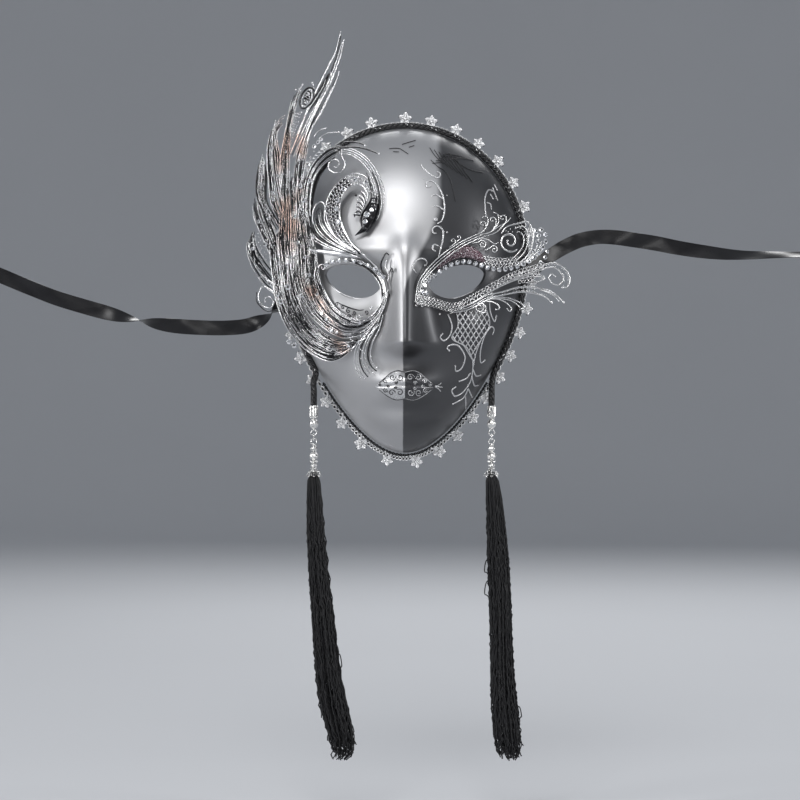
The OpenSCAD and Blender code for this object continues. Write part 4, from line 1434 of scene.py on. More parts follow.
# ---- lips ----
def lips(side):
    """One half of the mouth: a swelling pair of lips over their edge, with thread-like scrolls."""
    name = "left" if side < 0 else "right"
    piece = Filigree(f"{name}_lip_half", "lip")
    along, across = 34, 30
    points = []
    for i in range(along + 1):
        ax = 0.15 + (20.4 - 0.15) * (i / along) ** 0.9
        high, low = along_table(LIP_EDGE, ax), along_table(LIP_FOOT, ax)
        for j in range(across + 1):
            z = low + (high - low) * j / across
            points.append(on_sheet("lip", side * ax, z))
    w = across + 1
    edge = border_walk(along, across)
    n = len(points)
    for v in edge:
        p = points[v]
        points.append(Vector((p.x, -face(p.x, p.z) + 0.3, p.z)))
    faces = []
    for i in range(along):
        for j in range(across):
            v = i * w + j
            faces.append((v, v + 1, v + w + 1, v + w))
    for k in range(len(edge)):
        m = (k + 1) % len(edge)
        faces.append((edge[k], edge[m], n + m, n + k))
    if side > 0:
        faces = [tuple(reversed(f)) for f in faces]
    piece.add(points, faces)
    rng = random.Random(31 + side)
    spots = [
        (3.4, -59.2, 2.2), (8.4, -59.2, 2.1), (12.8, -61.6, 1.6), (3.6, -69, 2.4), (8.8, -69.2, 2.2),
        (13, -67.4, 1.6), (16.4, -64.0, 1.0), (6, -62.6, 1.1), (6.2, -66.2, 1.1), (11.2, -64.9, 0.9),
    ]
    for x, z, size in spots:
        start = rng.uniform(0, 360)
        piece.curl(side * x, z, size, start, 430 * (1 if rng.random() < 0.5 else -1), 0.66, 0.12, 1, (),
            0.3, 0.25)
        ball(piece, on_sheet("lip", side * (x + size + 0.35), z + 0.4, 0.15), 0.3, 1, 6, 4)
    for table, shift in ((LIP_EDGE, -0.45), (LIP_FOOT, 0.45)):
        rim_line = [(side * x, z + shift) for x, z in table[:-1]]
        piece.wire(rim_line, 0.5, 0.5, 0.1, 1, 0, 0.9, 0)
    if side > 0:
        piece.kind = "paint"
        for lead in ([(19.4, -65), (22, -64.2), (23.6, -62.8)], [(19.4, -65), (22.6, -65.4), (24.4, -65.6)],
                     [(19.4, -65.3), (21.8, -66.6), (23.2, -68.2)]):
            piece.wire(lead, 0.6, 0.5, 0.25, 1, 0.35, 0.6, 0.2)
    base, line = (LIP_SILVER, DARK_PAINT) if side < 0 else (LIP_DARK, PAINT_LINE)
    slot = "silver_paint" if side > 0 else "lip_dark"
    return piece.make([base, line], slot, nodes=[f"lips_{name}"], crease=60)


# ---- raised paint on the gunmetal side ----
def painted(name, lines, nodes, dots=(), finish=PAINT_LINE, width=1.15):
    """Lines of raised paint with round ends, and dots given as x, z and radius."""
    piece = Filigree(name, "paint")
    for line in lines:
        piece.wire(line, width, 0.75, 0.1, 0, 0.5 * width, 0.7, 0.25)
    for x, z, r in dots:
        ball(piece, on_sheet("paint", x, z, 0.1), r)
    return piece.make([finish], "silver_paint", nodes=nodes)


def face_paint():
    painted("forehead_relief_scroll", [
        [(10.5, 82), (12, 79.2), (15.5, 75.8), (19.9, 72.7), (22.8, 73.4), (23, 76), (21, 76.6)],
        [(17, 66.6), (14.8, 65.6), (13.5, 67.6), (15, 70), (18, 70), (22, 66.2), (25.1, 58.9), (25.8, 50),
         (24, 43.6), (21.5, 41.5)],
        [(17.2, 60), (20.5, 60.8), (24.4, 58.4)], [(18.3, 53), (21.6, 53), (25.4, 50.6)],
        [(20.4, 35), (18.4, 35.2), (18, 38), (21, 39.8), (24.6, 37), (24.6, 31), (23.4, 26), (22, 19.9)],
        [(21.8, 26.4), (18.8, 27.4), (17.8, 24.6), (19.6, 23)],
        [(7.3, 8.4), (4.8, 12.4), (7.6, 17.1), (12, 18), (14.2, 15.4), (12.6, 13.4)],
    ], ["forehead_scroll"], [(19.9, 44.1, 1.5), (27.4, 35.7, 0.7), (12.2, 71.6, 0.5), (27.5, 60.5, 0.4)])
    painted("temple_relief_scroll", [
        [(53.6, 46.6), (53, 53), (53, 60), (55.4, 65.8), (58.6, 65.4)],
        [(54.2, 57), (56.8, 56), (57, 53.4)], [(58.4, 68), (60, 63.6), (61.6, 59.4)],
        [(56.6, 63.2), (58.6, 60)], [(59.8, 70.4), (61.6, 66.8)],
    ], ["temple_scroll"], [(57.2, 52.6, 0.5)])
    panel_left = [(33.6, -16.9), (34.4, -26), (30.6, -33.7), (39.9, -39), (44.1, -46.3), (44.8, -52)]
    panel_right = [(53.6, -14.8), (55.8, -24.2), (50.4, -33.7), (46.7, -43.2), (45, -52)]
    lattice = [panel_left, panel_right]
    left, right = flat_points(panel_left, 60), flat_points(panel_right, 60)

    def inside(x, z):
        lo = min(left, key=lambda p: abs(p[1] - z))[0]
        hi = min(right, key=lambda p: abs(p[1] - z))[0]
        return -50.5 < z < -15.4 and lo - 0.2 < x < hi + 0.2

    for slope in (1.55, -1.55):
        for k in range(-8, 16):
            start = last = None
            for i in range(160):
                x = 28 + 0.2 * i
                z = -34 + slope * (x - 43) + 5.6 * (k - 4) * (1 if slope > 0 else -1)
                if inside(x, z):
                    start = start or (x, z)
                    last = (x, z)
            if start and math.hypot(last[0] - start[0], last[1] - start[1]) > 2:
                middle = (0.5 * (start[0] + last[0]), 0.5 * (start[1] + last[1]))
                lattice.append([start, middle, last])
    painted("cheek_relief_lattice", lattice, ["cheek_lattice"], width=0.9)
    painted("cheek_relief_scrolls", [
        [(27.8, -17.9), (30.4, -25), (29.4, -31.4), (25.6, -35.2), (22.8, -33.2), (24.4, -30.8)],
        [(29.4, -42), (27.4, -40), (29.8, -37.9), (35, -38.6), (39.4, -45.6), (37.2, -53), (33.4, -55),
         (33, -51.6)],
        [(58, -30.6), (59, -27), (56.8, -25.6), (52.5, -31.6), (49.9, -41.1), (50.2, -49), (53, -47.6)],
        [(55.7, -7.4), (56.2, -15.8), (59.2, -22), (60.4, -18.2)],
        [(44.9, -52.1), (43.6, -61.1), (38.8, -68.4), (33.2, -71.4), (30.8, -67.8), (33.4, -65.4)],
        [(43.4, -56), (40.4, -59.8), (35.7, -61.6)], [(45, -53.7), (47.2, -57.9), (50.4, -57.4)],
        [(44.2, -58), (46.2, -64.2), (48.4, -64.2)], [(42, -66.3), (38.8, -72.6), (31.8, -76.6)],
        [(42, -66.3), (45, -72)], [(40.4, -71.6), (40.9, -79.4)],
    ], ["cheek_scrolls"], [(22.5, -17.9, 0.8), (28.6, -41.4, 0.8)])
    crown = [
        [(-10.6, 93), (-6.5, 93.4), (-3.4, 93)], [(-2, 96.2), (3, 98), (7, 99.4)], [(-3.4, 93), (2, 89.2)],
        [(2.5, 94), (6, 95.4)], [(-8, 90.8), (-4.2, 90.6)],
        [(17, 85), (22, 80), (27, 76.6), (31, 68), (33, 56.4)], [(29, 90.6), (35, 84), (43, 79.4), (52, 78)],
    ]
    for k in range(7):
        crown.append([(16.4 + 3 * k, 94 - 1.4 * k), (20 + 3.2 * k, 88 - 1.6 * k),
            (25.4 + 3.2 * k, 82.4 - 2 * k)])
    for k in range(5):
        crown.append([(18 + 2.2 * k, 82.6 + 1.8 * k), (26 + 2.4 * k, 84 + 1.2 * k),
            (34 + 3 * k, 88.6 - 0.6 * k)])
    painted("crown_brush_lines", crown, [], finish=DARK_PAINT, width=0.34)


# ---- bird and wing ----
WING_METALS = [CHROME, DARK_METAL_AND_SHADE]


def under_eye_feathers(trunk):
    trunk_in = [(-62.5, 52), (-60.6, 36), (-58.4, 24), (-57, 12), (-53.4, -0.6), (-48.2, -10.5),
                (-40.2, -18), (-31, -21.5),
                (-23, -19.5), (-16.5, -13), (-12.6, -4)]
    trunk_out = [(-75, 54), (-75, 40), (-73.5, 24), (-73, 6), (-66, -13), (-55, -25.5), (-42, -33),
                 (-31, -32), (-22.6, -27),
                 (-14.5, -16), (-10.8, -2)]
    # A dark plate under the filaments: painted shade and dark reflection over the silver shell.
    trunk.plate(trunk_in, trunk_out, 0.3, -0.1, 1, 60, 8)
    trunk.bundle(trunk_in, trunk_out, 19, 0.66, 0.8, 0.0, 0.2, 0.0, (3, 8, 13))
    trunk.dashes(trunk_in[:9], trunk_out[:9], 110, dark=0.45)
    trunk.beading([(-61, 12), (-55, -1), (-49, -11)], [(-73, 12), (-67, -12), (-56, -25)], 6, 2.4, 0.42,
        1.3, 0, 0.6)
    trunk.beading([(-62, 48), (-61.6, 24)], [(-73, 48), (-72.4, 24)], 5, 2.8, 0.40, 1.3, 0, 0.5)
    for x, z, size, start in ((-44.5, -11.4, 1.5, 0), (-40.5, -13.6, 1.7, 0), (-37, -15.8, 1.7, 90),
                              (-33.4, -17.2, 1.6, 200),
                              (-36.8, -19.4, 1.5, 300), (-32, -20.6, 1.3, 40), (-28.6, -19, 1.4, 120),
                              (-25.4, -17, 1.5, 260), (-22, -14.4, 1.4, 30)):
        trunk.curl(x, z, size, start, 400, 0.7, 0.9, 1 if size > 1.45 else 0, (), 0.4)
    trunk.wire([(-44, -10.4), (-38, -13.2), (-31, -15.4), (-27, -15.2)], 0.9, 0.6, 0.7, 1)
    trunk.curl(-54.2, 13, 2.7, 200, -400, 0.9, 0.9, 0, [(-58.6, 2), (-59.6, 9), (-58, 14.4)], 0.5)
    trunk.curl(-58.4, 18.6, 1.8, 60, 400, 0.7, 1.2, 0, (), 0.4)
    trunk.curl(-60.6, 22.8, 1.5, 200, -400, 0.7, 1.2, 0, (), 0.4)


def lower_plumes(low):
    low_in = [(-74, 48), (-73.5, 28), (-73, 8), (-66.6, -13), (-56.6, -27), (-45, -34.4), (-35, -35.4),
        (-31, -34)]
    low_out = [(-90, 30), (-88, 10), (-85, -9), (-78.6, -25), (-70, -36.5), (-61, -44), (-51, -48.4),
               (-43, -47),
               (-36.6, -42.4), (-32.6, -38.4)]
    # A dark plate under the filaments: painted shade and dark reflection over the silver shell.
    low.plate(low_in, low_out, 0.3, -0.1, 1, 56, 8)
    low.bundle(low_in, low_out, 22, 0.66, 0.8, 0.0, 0.26, 0.0, (4, 9, 11, 17))
    low.wire(low_out, 1.0, 0.8, 0.9, 0, 0.6, 1.6, 0.3)
    low.dashes(low_in, low_out, 150, dark=0.5)
    low.beading([(-75.5, 34), (-73, 8), (-67, -13), (-58, -27)], [(-88, 26), (-86, 0), (-80, -21),
        (-71, -35)], 7, 2.3, 0.42, 1.3, 0, 0.55)
    low.beading([(-56, -32), (-46, -37), (-37, -38)], [(-62, -41), (-52, -46), (-42, -45)], 3, 2.4, 0.4,
        1.3, 0, 0.7)
    for x, z, size, start, turn in ((-50, -40, 2.4, 30, -430), (-43.4, -41.6, 2.0, 60, -430),
                                    (-37.4, -39.6, 1.7, 80, -420),
                                    (-56, -36.6, 2.2, 20, -420)):
        low.curl(x, z, size, start, turn, 0.6, 1.3, 0, (), 0.36)
    for k in range(3):
        low.wire([(-50 - k, -33 - 3 * k), (-42, -36.5 - 3.2 * k), (-35, -38.4 - 1.6 * k)], 0.8, 0.7, 1.1,
            0, 0.5)


def back_plumes(back):
    fans = [
        ([(-82, -8), (-93, 1.5), (-99.4, 10.8), (-103.4, 19.6), (-105, 27.6), (-103.6, 33.6)],
         [(-79, 4), (-87, 12), (-93.5, 20), (-98, 28), (-99.6, 35), (-98.6, 40)], 5, (2,)),
        ([(-82, 10), (-90, 24), (-96.2, 38), (-100.2, 47.6), (-101, 58)],
         [(-77, 18), (-84, 32), (-89, 44), (-92.4, 54), (-94, 63)], 6, (1, 4)),
        ([(-86, 36), (-93.4, 50), (-98, 60.3), (-98.6, 69.4), (-97.4, 79.2), (-94.6, 88.7)],
         [(-80, 38), (-86.4, 48), (-91, 56), (-92, 64), (-91.6, 75.4), (-94, 87.4)], 5, (0, 4)),
        ([(-83, 42), (-88.6, 56.5), (-91, 79), (-91.2, 92), (-89.7, 101)],
         [(-79, 44), (-84.6, 58), (-87.8, 78), (-88.6, 96), (-85.6, 111)], 4, (1,)),
        ([(-80.6, 46), (-85, 66), (-87.8, 88), (-87, 103), (-83.4, 111.4), (-79.8, 114)],
         [(-78, 48), (-81.4, 68), (-82.6, 86), (-84.8, 100), (-82.6, 106.6), (-79, 108.8)], 4, ()),
        ([(-78.6, 40), (-81.6, 60), (-82.8, 80), (-80.2, 98), (-78, 110), (-75.4, 123), (-72.2, 130.6)],
         [(-74.6, 40), (-76.4, 60), (-76.4, 80), (-76, 96), (-74.4, 110), (-71, 124), (-67.8, 133.8)], 5,
         (2,)),
        ([(-74.4, 38), (-74.4, 60), (-72.6, 80), (-69.6, 94), (-64.6, 104)],
         [(-67.6, 38), (-68, 58), (-67, 74), (-65, 88), (-62.6, 99)], 6, (3,)),
    ]
    for a, b, count, dark in fans:
        back.bundle(a, b, count, 0.8, 0.8, 0.45, 0.14, 1.0, dark)
        back.dashes(a, b, 5 * count, (3, 9), (0.35, 0.6), 1.3, 0.2, 0.3)
    back.beading([(-92.6, 50), (-97.4, 60), (-98, 70), (-96.8, 79), (-94.6, 86)], [(-87, 48), (-91.6, 57),
        (-92.6, 66), (-92.4, 76), (-93.6, 85)], 4, 1.7, 0.46, 1.3, 0, 0.92)
    back.beading([(-82, 66), (-82, 82), (-79.4, 97), (-76.6, 108), (-72, 117)], [(-77, 66), (-76.6, 82),
        (-74.6, 96), (-71, 106), (-68, 116)], 4, 1.7, 0.46, 1.3, 0, 0.9)
    back.beading([(-89, 26), (-95.4, 39), (-98.4, 50)], [(-84, 30), (-89, 42), (-92.6, 54)], 3, 1.8, 0.44,
        1.3, 0, 0.9)
    back.beading([(-80, 4), (-89, 12), (-97, 20), (-101.4, 30)], [(-77, 8), (-85, 18), (-92, 28),
        (-97, 37)], 4, 2.1, 0.42, 1.3, 0, 0.8)
    back.beading([(-84, 24), (-82, 50), (-82, 62)], [(-68, 24), (-69, 50), (-69, 72)], 6, 2.6, 0.40, 1.4,
        0, 0.6)
    back.bundle([(-84, 20), (-83, 40), (-82, 58), (-82.6, 70)], [(-70, 24), (-71, 44), (-72, 60),
        (-74, 76)], 9, 0.6, 0.9, 0.35, 0.3, 1.1, (2, 6))
    back.wire([(-84, -4), (-93, 1), (-96, -1.4), (-97, -6.6), (-93.8, -12), (-89, -12.8), (-86.8, -9.4),
        (-89.4, -5.8), (-92.6, -6.6), (-92.4, -9.2)], 1.0, 0.75, 0.7, 0, 0.6)
    back.wire([(-80, -14), (-86, -14.6), (-92, -15), (-98.2, -9), (-98.4, -3)], 0.8, 0.7, 0.4, 1, 0.4)
    back.wire([(-80, 0), (-90, 5), (-97.4, 12), (-101.6, 20), (-103.2, 27), (-101.4, 30.6), (-99.4, 28)],
        0.9, 0.7, 0.9, 0, 0.5)


def tail_plumes(tail):
    for line, wide, finish in (
        ([(-76, 88), (-69.4, 104), (-64.3, 118), (-59.7, 127.8), (-54.4, 138.4), (-49.1, 149), (-45.3, 156.6),
          (-42.5, 168.6)], 1.2, 0),
        ([(-74.6, 88), (-67.8, 104), (-62.4, 115), (-56.4, 126.6), (-51, 138), (-46.6, 148.6), (-43.8, 158),
          (-42.4, 166)], 0.8, 1),
        ([(-71, 84), (-63.5, 105.8), (-57.5, 118.7), (-52.9, 127.8), (-48.4, 136.8), (-44.6, 146.7),
          (-42.3, 153.5), (-40.4, 163)], 1.0, 0),
        ([(-72.4, 86), (-65.4, 104.6), (-59.4, 117.6), (-54.6, 127.4), (-50, 137), (-46, 147), (-43.4, 155),
          (-41.4, 161.6)], 0.8, 0),
        ([(-68.6, 82), (-62, 104), (-55.9, 114.1), (-49.9, 126.2), (-46.1, 134.6), (-43.4, 142.2)], 1.0, 0),
        ([(-69.8, 83), (-63, 104.6), (-57.2, 114.8), (-51.2, 126.2), (-47.2, 134.6), (-44.2, 141)], 0.7, 1),
        ([(-72, 94), (-62.4, 114.1), (-57, 123.2), (-52.5, 131.5), (-49.4, 137.6), (-49.1, 142)], 0.9, 0),
        ([(-73, 98), (-64.6, 116), (-59, 124.8), (-54.2, 132.4), (-52.5, 136.8)], 0.8, 0),
        ([(-70, 82), (-64, 100), (-60, 108), (-53.4, 120.4), (-48, 132)], 0.7, 0),
        ([(-74, 86), (-67, 101), (-61.6, 112), (-55.4, 124), (-50, 134), (-46.4, 143)], 0.7, 0),
    ):
        tail.wire(line, wide, 0.8, 0.8, finish, 0.5 if finish == 0 else 0, 1.6, 0.3)
    tail.plate([(-50.6, 141.6), (-55.4, 134), (-60, 126), (-65, 116.6)], [(-50.2, 141), (-52.6, 133.4),
        (-57.4, 125), (-64, 115.6)], 0.4, 0.5, 1, 20, 3)
    tail.plate([(-52.4, 131), (-56.8, 121.8), (-61.2, 112.6), (-64.4, 103.4)],
        [(-51.8, 130.6), (-55.2, 121.4), (-59.6, 112.2), (-63.8, 103)], 0.4, 0.5, 1, 20, 3)
    tilt = math.radians(65)
    for half_l, half_w, wide, finish, rise in ((7.4, 4.0, 1.3, 1, 0.9), (6.0, 2.8, 0.6, 0, 1.2)):
        ring_line, outs = [], []
        for i in range(40):
            a = FULL * i / 40
            u, v = half_l * math.cos(a), half_w * math.sin(a)
            x = -64.9 + u * math.cos(tilt) - v * math.sin(tilt)
            z = 125.4 + u * math.sin(tilt) + v * math.cos(tilt)
            ring_line.append(on_sheet("wing", x, z, rise))
            outs.append(out_of("wing", x, z))
        sweep(tail, ring_line, outs, wide, 0.8, 6, finish, True)
    tail.plate([(-62.8, 131.6), (-66.6, 127), (-67.4, 120)], [(-62, 131.4), (-62.4, 125), (-66.8, 119.4)],
        0.3, 0.3, 1, 14, 4)
    tail.beading([(-63.4, 130.6), (-66.4, 126), (-67.4, 121)], [(-62, 129.6), (-63, 124.6), (-66, 119.6)],
        4, 1.5, 0.50, 1.0, 0, 0.95)
    for x, z in ((-61.2, 135.3), (-67.7, 134.4), (-72.2, 131)):
        ball(tail, on_sheet("wing", x, z, 0.9), 0.75)
    tail.wire([(-60.4, 129), (-60.2, 132.4), (-61.2, 135.3)], 0.6, 0.6, 0.8)
    tail.wire([(-76.4, 117), (-73.4, 123.6), (-70.2, 130.2), (-67.7, 134.4)], 0.7, 0.6, 0.9)


def forehead_arcs(arcs):
    arcs.bundle([(-62.4, 44), (-62.2, 60), (-60.6, 70), (-57.2, 77), (-52.4, 82.2), (-46.6, 86.4),
        (-41.6, 88.4)], [(-67, 44), (-66.6, 64), (-64.4, 73.4), (-61, 81), (-56, 87.2), (-49.9, 91.6),
        (-42.3, 93.6)], 7, 0.8, 0.8, 0.0, 0.06, 0.9, (2, 5))
    arcs.plate([(-62, 46), (-62, 60), (-60.2, 70), (-56.8, 77), (-51.8, 82.2), (-46.4, 86)],
        [(-61.6, 46), (-59.8, 60), (-57.6, 68.6), (-54.4, 75.2), (-50.2, 80.6), (-46, 85.6)], 0.5, 0.5, 1,
        30, 4)
    arcs.bundle([(-42, 87.6), (-37, 87.4), (-29.6, 83), (-23.6, 76), (-19.8, 68), (-18, 58.4)],
        [(-43, 92.6), (-34.7, 90.8), (-26.6, 86), (-20.4, 79), (-16, 70.4), (-13.8, 61), (-14.2, 51)], 4,
        0.7, 0.7, 0.0, 0.04)
    arcs.curl(-45.9, 80.6, 7.0, 52, -520, 0.95, 1.3, 0, [(-41.6, 91.6)], 0.6)
    for line in ([(-42, 94.6), (-37.7, 95.5), (-33.2, 95.4), (-28.6, 94.2), (-26.4, 92.9)],
                 [(-43, 91.8), (-36, 92.2), (-30.2, 91.8), (-23.3, 89.8), (-17.2, 87.2)]):
        arcs.wire(line, 1.1, 0.8, 1.0, 1, 0.0, 1.2, 0.3)
        ball(arcs, on_sheet("wing", *line[-1], 1.0), 0.85)
    for line in ([(-57, 97.4), (-55.2, 99.8), (-51.4, 101.6), (-43.8, 102.2)],
                 [(-60, 99), (-58.6, 102), (-56, 104), (-52.5, 104.8)]):
        arcs.wire(line, 0.7, 0.7, 0.8, 0, 0.7)
    arcs.beading([(-68, 54), (-67.6, 66), (-65, 78), (-59.6, 88)], [(-70, 54), (-69.6, 67), (-66.8, 80),
        (-61, 91)], 1, 1.9, 0.5, 1.0)
    for k in range(6):
        x, z = -62.4 + 1.9 * k, 84.6 + 1.9 * k
        arcs.wire([(x, z), (x + 2.2, z + 0.8), (x + 3.6, z - 0.8)], 0.5, 0.6, 1.2, 0, 0.45, 0.7)


def bird_neck(neck):
    outer = [(-29.8, 20.4), (-37, 25.2), (-42.8, 30), (-48.4, 37.2), (-51.6, 46), (-51.8, 54.8), (-49.6, 61),
             (-45.3, 67.3), (-39.3, 72.6), (-33.2, 74.7), (-26.4, 72.6), (-20.8, 67), (-17.4, 60)]
    inner = [(-28.4, 21.6), (-33.4, 26.6), (-37.4, 32), (-41, 39), (-42.8, 46), (-43, 53), (-42.2, 58),
             (-39.3, 63.6), (-34, 66.6), (-29, 66.8), (-26.4, 64.4), (-24.6, 60.6), (-24.4, 57)]
    neck.plate(outer[:9], inner[:9], 0.4, 0.2, 1, 46, 5)
    neck.wire(outer, 0.9, 0.8, 1.0, 0, 0, 1.4, 0.2)
    neck.wire([(-42.6, 56), (-43, 50), (-42.8, 46), (-40.4, 38), (-35.6, 29.4), (-29.2, 22.4),
        (-21.8, 15.8), (-16.4, 9.4), (-13.8, 2), (-12.4, -6)], 1.5, 1.0, 1.1, 0, 0, 1.3, 0.3)
    neck.wire(inner[6:], 0.9, 0.8, 1.0, 0, 0, 1.3, 0.2)
    neck.loops(outer[1:12], inner[1:12], 3, 2.5, 0.5, 0.9)
    neck.beading(outer[1:12], inner[1:12], 4, 1.9, 0.40, 1.1, 0, 0.7)


def bird_head(head):
    nape = [(-21.6, 75), (-18.6, 68), (-16.8, 60), (-16.4, 54), (-17.4, 48), (-19.6, 42.6), (-23.4, 37)]
    throat = [(-24.6, 72), (-22.6, 65), (-22.4, 58), (-24.6, 53.4), (-27.8, 48.4), (-29.4, 43.4),
        (-28.2, 38.6)]
    head.plate(nape[2:], throat[2:], 0.5, 0.9, 1, 34, 5, 0.6)
    head.plate([(-23.2, 37.4), (-25, 35.6), (-26, 35.6), (-32.6, 33.2)], [(-28.4, 39), (-29, 38),
        (-30.2, 36.4), (-32.8, 33.5)], 0.5, 1.0, 1, 16, 4, 0.5)
    head.wire(nape + [(-25, 35.4)], 0.95, 0.8, 1.6, 1, 0, 1, 0.2)
    head.wire([(x + 1.0, z + 0.4) for x, z in nape[:6]], 0.6, 0.8, 1.5, 0, 0, 1, 0.4)
    head.wire(throat + [(-30.2, 36), (-32.8, 33.2)], 0.8, 0.8, 1.6, 1, 0, 1, 0.3)
    for k in range(3):
        strand = [(x - 1.3 * (k + 1), z) for x, z in nape[:4]]
        head.wire(strand, 0.55, 0.7, 1.5, 0 if k < 2 else 1, 0, 1, 0.5)
    head.beading([(-19, 66), (-18, 58), (-18.4, 50.4)], [(-22.8, 65), (-21.6, 57), (-22.6, 52)], 3, 1.6,
        0.42, 1.9, 0, 0.85)
    head.curl(-21, 61.4, 1.2, 0, 400, 0.4, 1.9, 0, (), 0.25)
    head.curl(-20.6, 55.6, 1.2, 120, 400, 0.4, 1.9, 0, (), 0.25)


def bird_crest(crest):
    for fx, fz, tx, tz, bend in ((-25, 54.6, -28.4, 62.6, 1.6), (-25.8, 53, -29.8, 60, 1.7),
                                 (-26.6, 51.8, -31.2, 56.8, 1.6),
                                 (-27.4, 50.2, -31.6, 53.6, 1.3), (-28, 48.8, -31.8, 50.4, 1.0),
                                 (-28.8, 47.2, -33, 48, 0.4)):
        middle = (0.5 * (fx + tx) + 0.35 * bend, 0.5 * (fz + tz) + 0.7 * bend)
        crest.wire([(fx, fz), middle, (tx, tz)], 0.8, 0.7, 1.5, 0, 0.6, 0.9, 0.5)
        crest.wire([(fx - 0.8, fz - 0.8), (middle[0] - 0.9, middle[1] - 0.9), (tx - 0.3, tz - 1.3)], 1.0,
            0.7, 1.5, 1, 0, 0.9, 0.3)
    ball(crest, on_sheet("wing", -32.2, 60, 1.4), 0.75, 1)
    crest.wire([(-28.6, 46.4), (-31.4, 48.4), (-33.4, 47.8), (-33, 45.8)], 0.8, 0.7, 1.4, 1, 0.4, 0.8, 0.2)


def brow_feather(brow):
    brow.bundle([(-56, 52), (-54.6, 42), (-48.4, 33.6), (-40.4, 27), (-30.6, 21.4)],
        [(-64, 38), (-60.6, 32), (-54.6, 28), (-46.6, 24.6), (-37, 21.6), (-30.4, 19.6)], 8, 0.85, 0.9, 0,
        0.08, 1.1, (2, 5))
    brow.wire([(-61, 42), (-60.6, 50), (-58, 55), (-54.6, 56), (-52.4, 52.4), (-53, 45), (-49, 36.6),
        (-41, 29), (-31, 22)], 1.1, 0.8, 1.1, 0, 0, 1.3, 0.3)
    brow.wire([(-59, 44), (-58.4, 50), (-55.4, 52.6), (-54.4, 48)], 0.8, 0.7, 0.8, 1, 0, 1.1, 0.3)
    brow.plate([(-63, 25.8), (-48.2, 24.4), (-37, 22), (-29.4, 19)], [(-63, 24.2), (-48.2, 20.6),
        (-37, 18.8), (-29.4, 18.2)], 0.4, 0.9, 0, 30, 5, 1.0)
    brow.bundle([(-35.4, 18.4), (-25.8, 15), (-18.8, 9.6), (-14.6, 3), (-13, -7)], [(-38, 17), (-27, 12.6),
        (-20.4, 7), (-16.4, 0.6), (-15.2, -8.6)], 4, 0.75, 0.8, 0, 0.05, 0.7, (2,))
    brow.beading([(-60, 42), (-57, 34)], [(-50, 40), (-44, 31)], 4, 2.6, 0.4, 1.3, 0, 0.7)


def cheek_feathers(cheek):
    cheek.bundle([(-14.2, -17), (-16.6, -27), (-21, -36), (-22.8, -44), (-20.8, -50.4), (-17.2, -53.6)],
        [(-20, -26), (-27.6, -33), (-32.6, -41), (-33.2, -49.6), (-31, -56.8), (-28.4, -61)], 7, 0.95, 0.7,
        0.6, 0.05, 0.0, (1, 4))
    cheek.wire([(-16, -24), (-25, -33), (-31.6, -36), (-35.4, -34.4)], 1.0, 0.8, 1.0, 0, 0.6)
    cheek.wire([(-30, -37), (-29.4, -40.6), (-26.4, -43.6)], 0.8, 0.7, 1.1, 0, 0.5, 0.8)
    for x, z in ((-31.6, -36.4), (-29, -32.2), (-35.8, -34.2), (-26.4, -43.8), (-28.8, -47)):
        ball(cheek, on_sheet("wing", x, z, 1.0), 0.6)


def nose_leaf(leaf):
    for line, finish in (
        ([(-10.4, -6), (-11.6, 2), (-13.8, 7), (-15.8, 13.6), (-14.4, 18.4), (-12.4, 21.4), (-10.8, 20.4)],
         1),
        ([(-11.2, 3), (-11, 8.4), (-12.6, 12.4), (-12.2, 17)], 0),
        ([(-11.4, 4), (-10.4, 8.6), (-8.6, 11.8), (-8.2, 9.4)], 1),
    ):
        leaf.wire(line, 1.1, 0.8, 0.8, finish, 0.5, 0.9, 0.25)


def wing_stones():
    stones("wing_rhinestones", "wing", [
        (-88.2, 92.5, 1.5), (-88.9, 88.4, 1.2), (-60.1, 92.9, 1.2), (-57.5, 95.5, 1.2), (-55.4, 97.4, 1.0),
        (-63.9, 81.1, 1.3), (-62.8, 70.5, 1.3), (-69, 66.7, 1.5), (-66.8, 57.6, 1.5), (-87, 62.4, 1.2),
        (-87, 58.4, 1.2), (-40.2, 64.2, 1.6), (-44.6, 57, 1.7), (-45.2, 51.6, 1.6), (-43.4, 42.8, 1.6),
        (-25, 47, 1.9), (-22, 50, 1.3), (-26, 42.4, 1.4), (-77, 0.4, 2.0), (-68.2, -5.2, 1.4),
        (-84, -4.2, 1.4), (-81.8, -9.2, 1.7), (-92.6, 28.8, 1.4), (-63, 8.4, 1.2), (-57.8, -4.4, 1.2),
        (-54.6, -17.2, 1.2), (-51.4, -20.8, 1.2), (-48.2, -28.4, 1.2), (-44.6, -29.6, 1.1),
        (-76.4, -35.4, 1.8),
        (-73, -38, 1.8), (-37, -38.6, 1.1), (-52, -35, 1.1), (-95.2, 68, 1.2), (-94.8, 76, 1.1),
        (-97, 44, 1.2),
        (-74.6, 104, 1.1), (-78.8, 90, 1.1), (-84.6, 74, 1.2), (-64.8, 122.6, 1.0), (-64, 127.6, 1.0),
        (-75.6, 20, 1.3), (-84, 16, 1.3), (-70.6, 30, 1.2), (-66, 20, 1.2), (-90, 46, 1.1), (-73, 47, 1.1),
        (-101, 26, 1.1), (-33, 70.4, 1.4), (-25.6, 68.6, 1.2), (-29.8, -24, 1.0), (-60.4, 33, 1.1),
    ], 1.9, ["wing_stones"], 91)
    lid = []
    for i in range(10):
        a = math.radians(38 + 13.5 * i)
        x = -(EYE_X + (EYE_HALF_W + 2.4) * math.cos(a))
        z = EYE_Z + EYE_SLANT * math.cos(a) + (EYE_TOP + 2.4) * max(0, math.sin(a)) ** 1.1
        lid.append((x, z, 1.55))
    stones("left_lid_rhinestones", "wing", lid, 0.7, ["left_eye_stones"], 92)


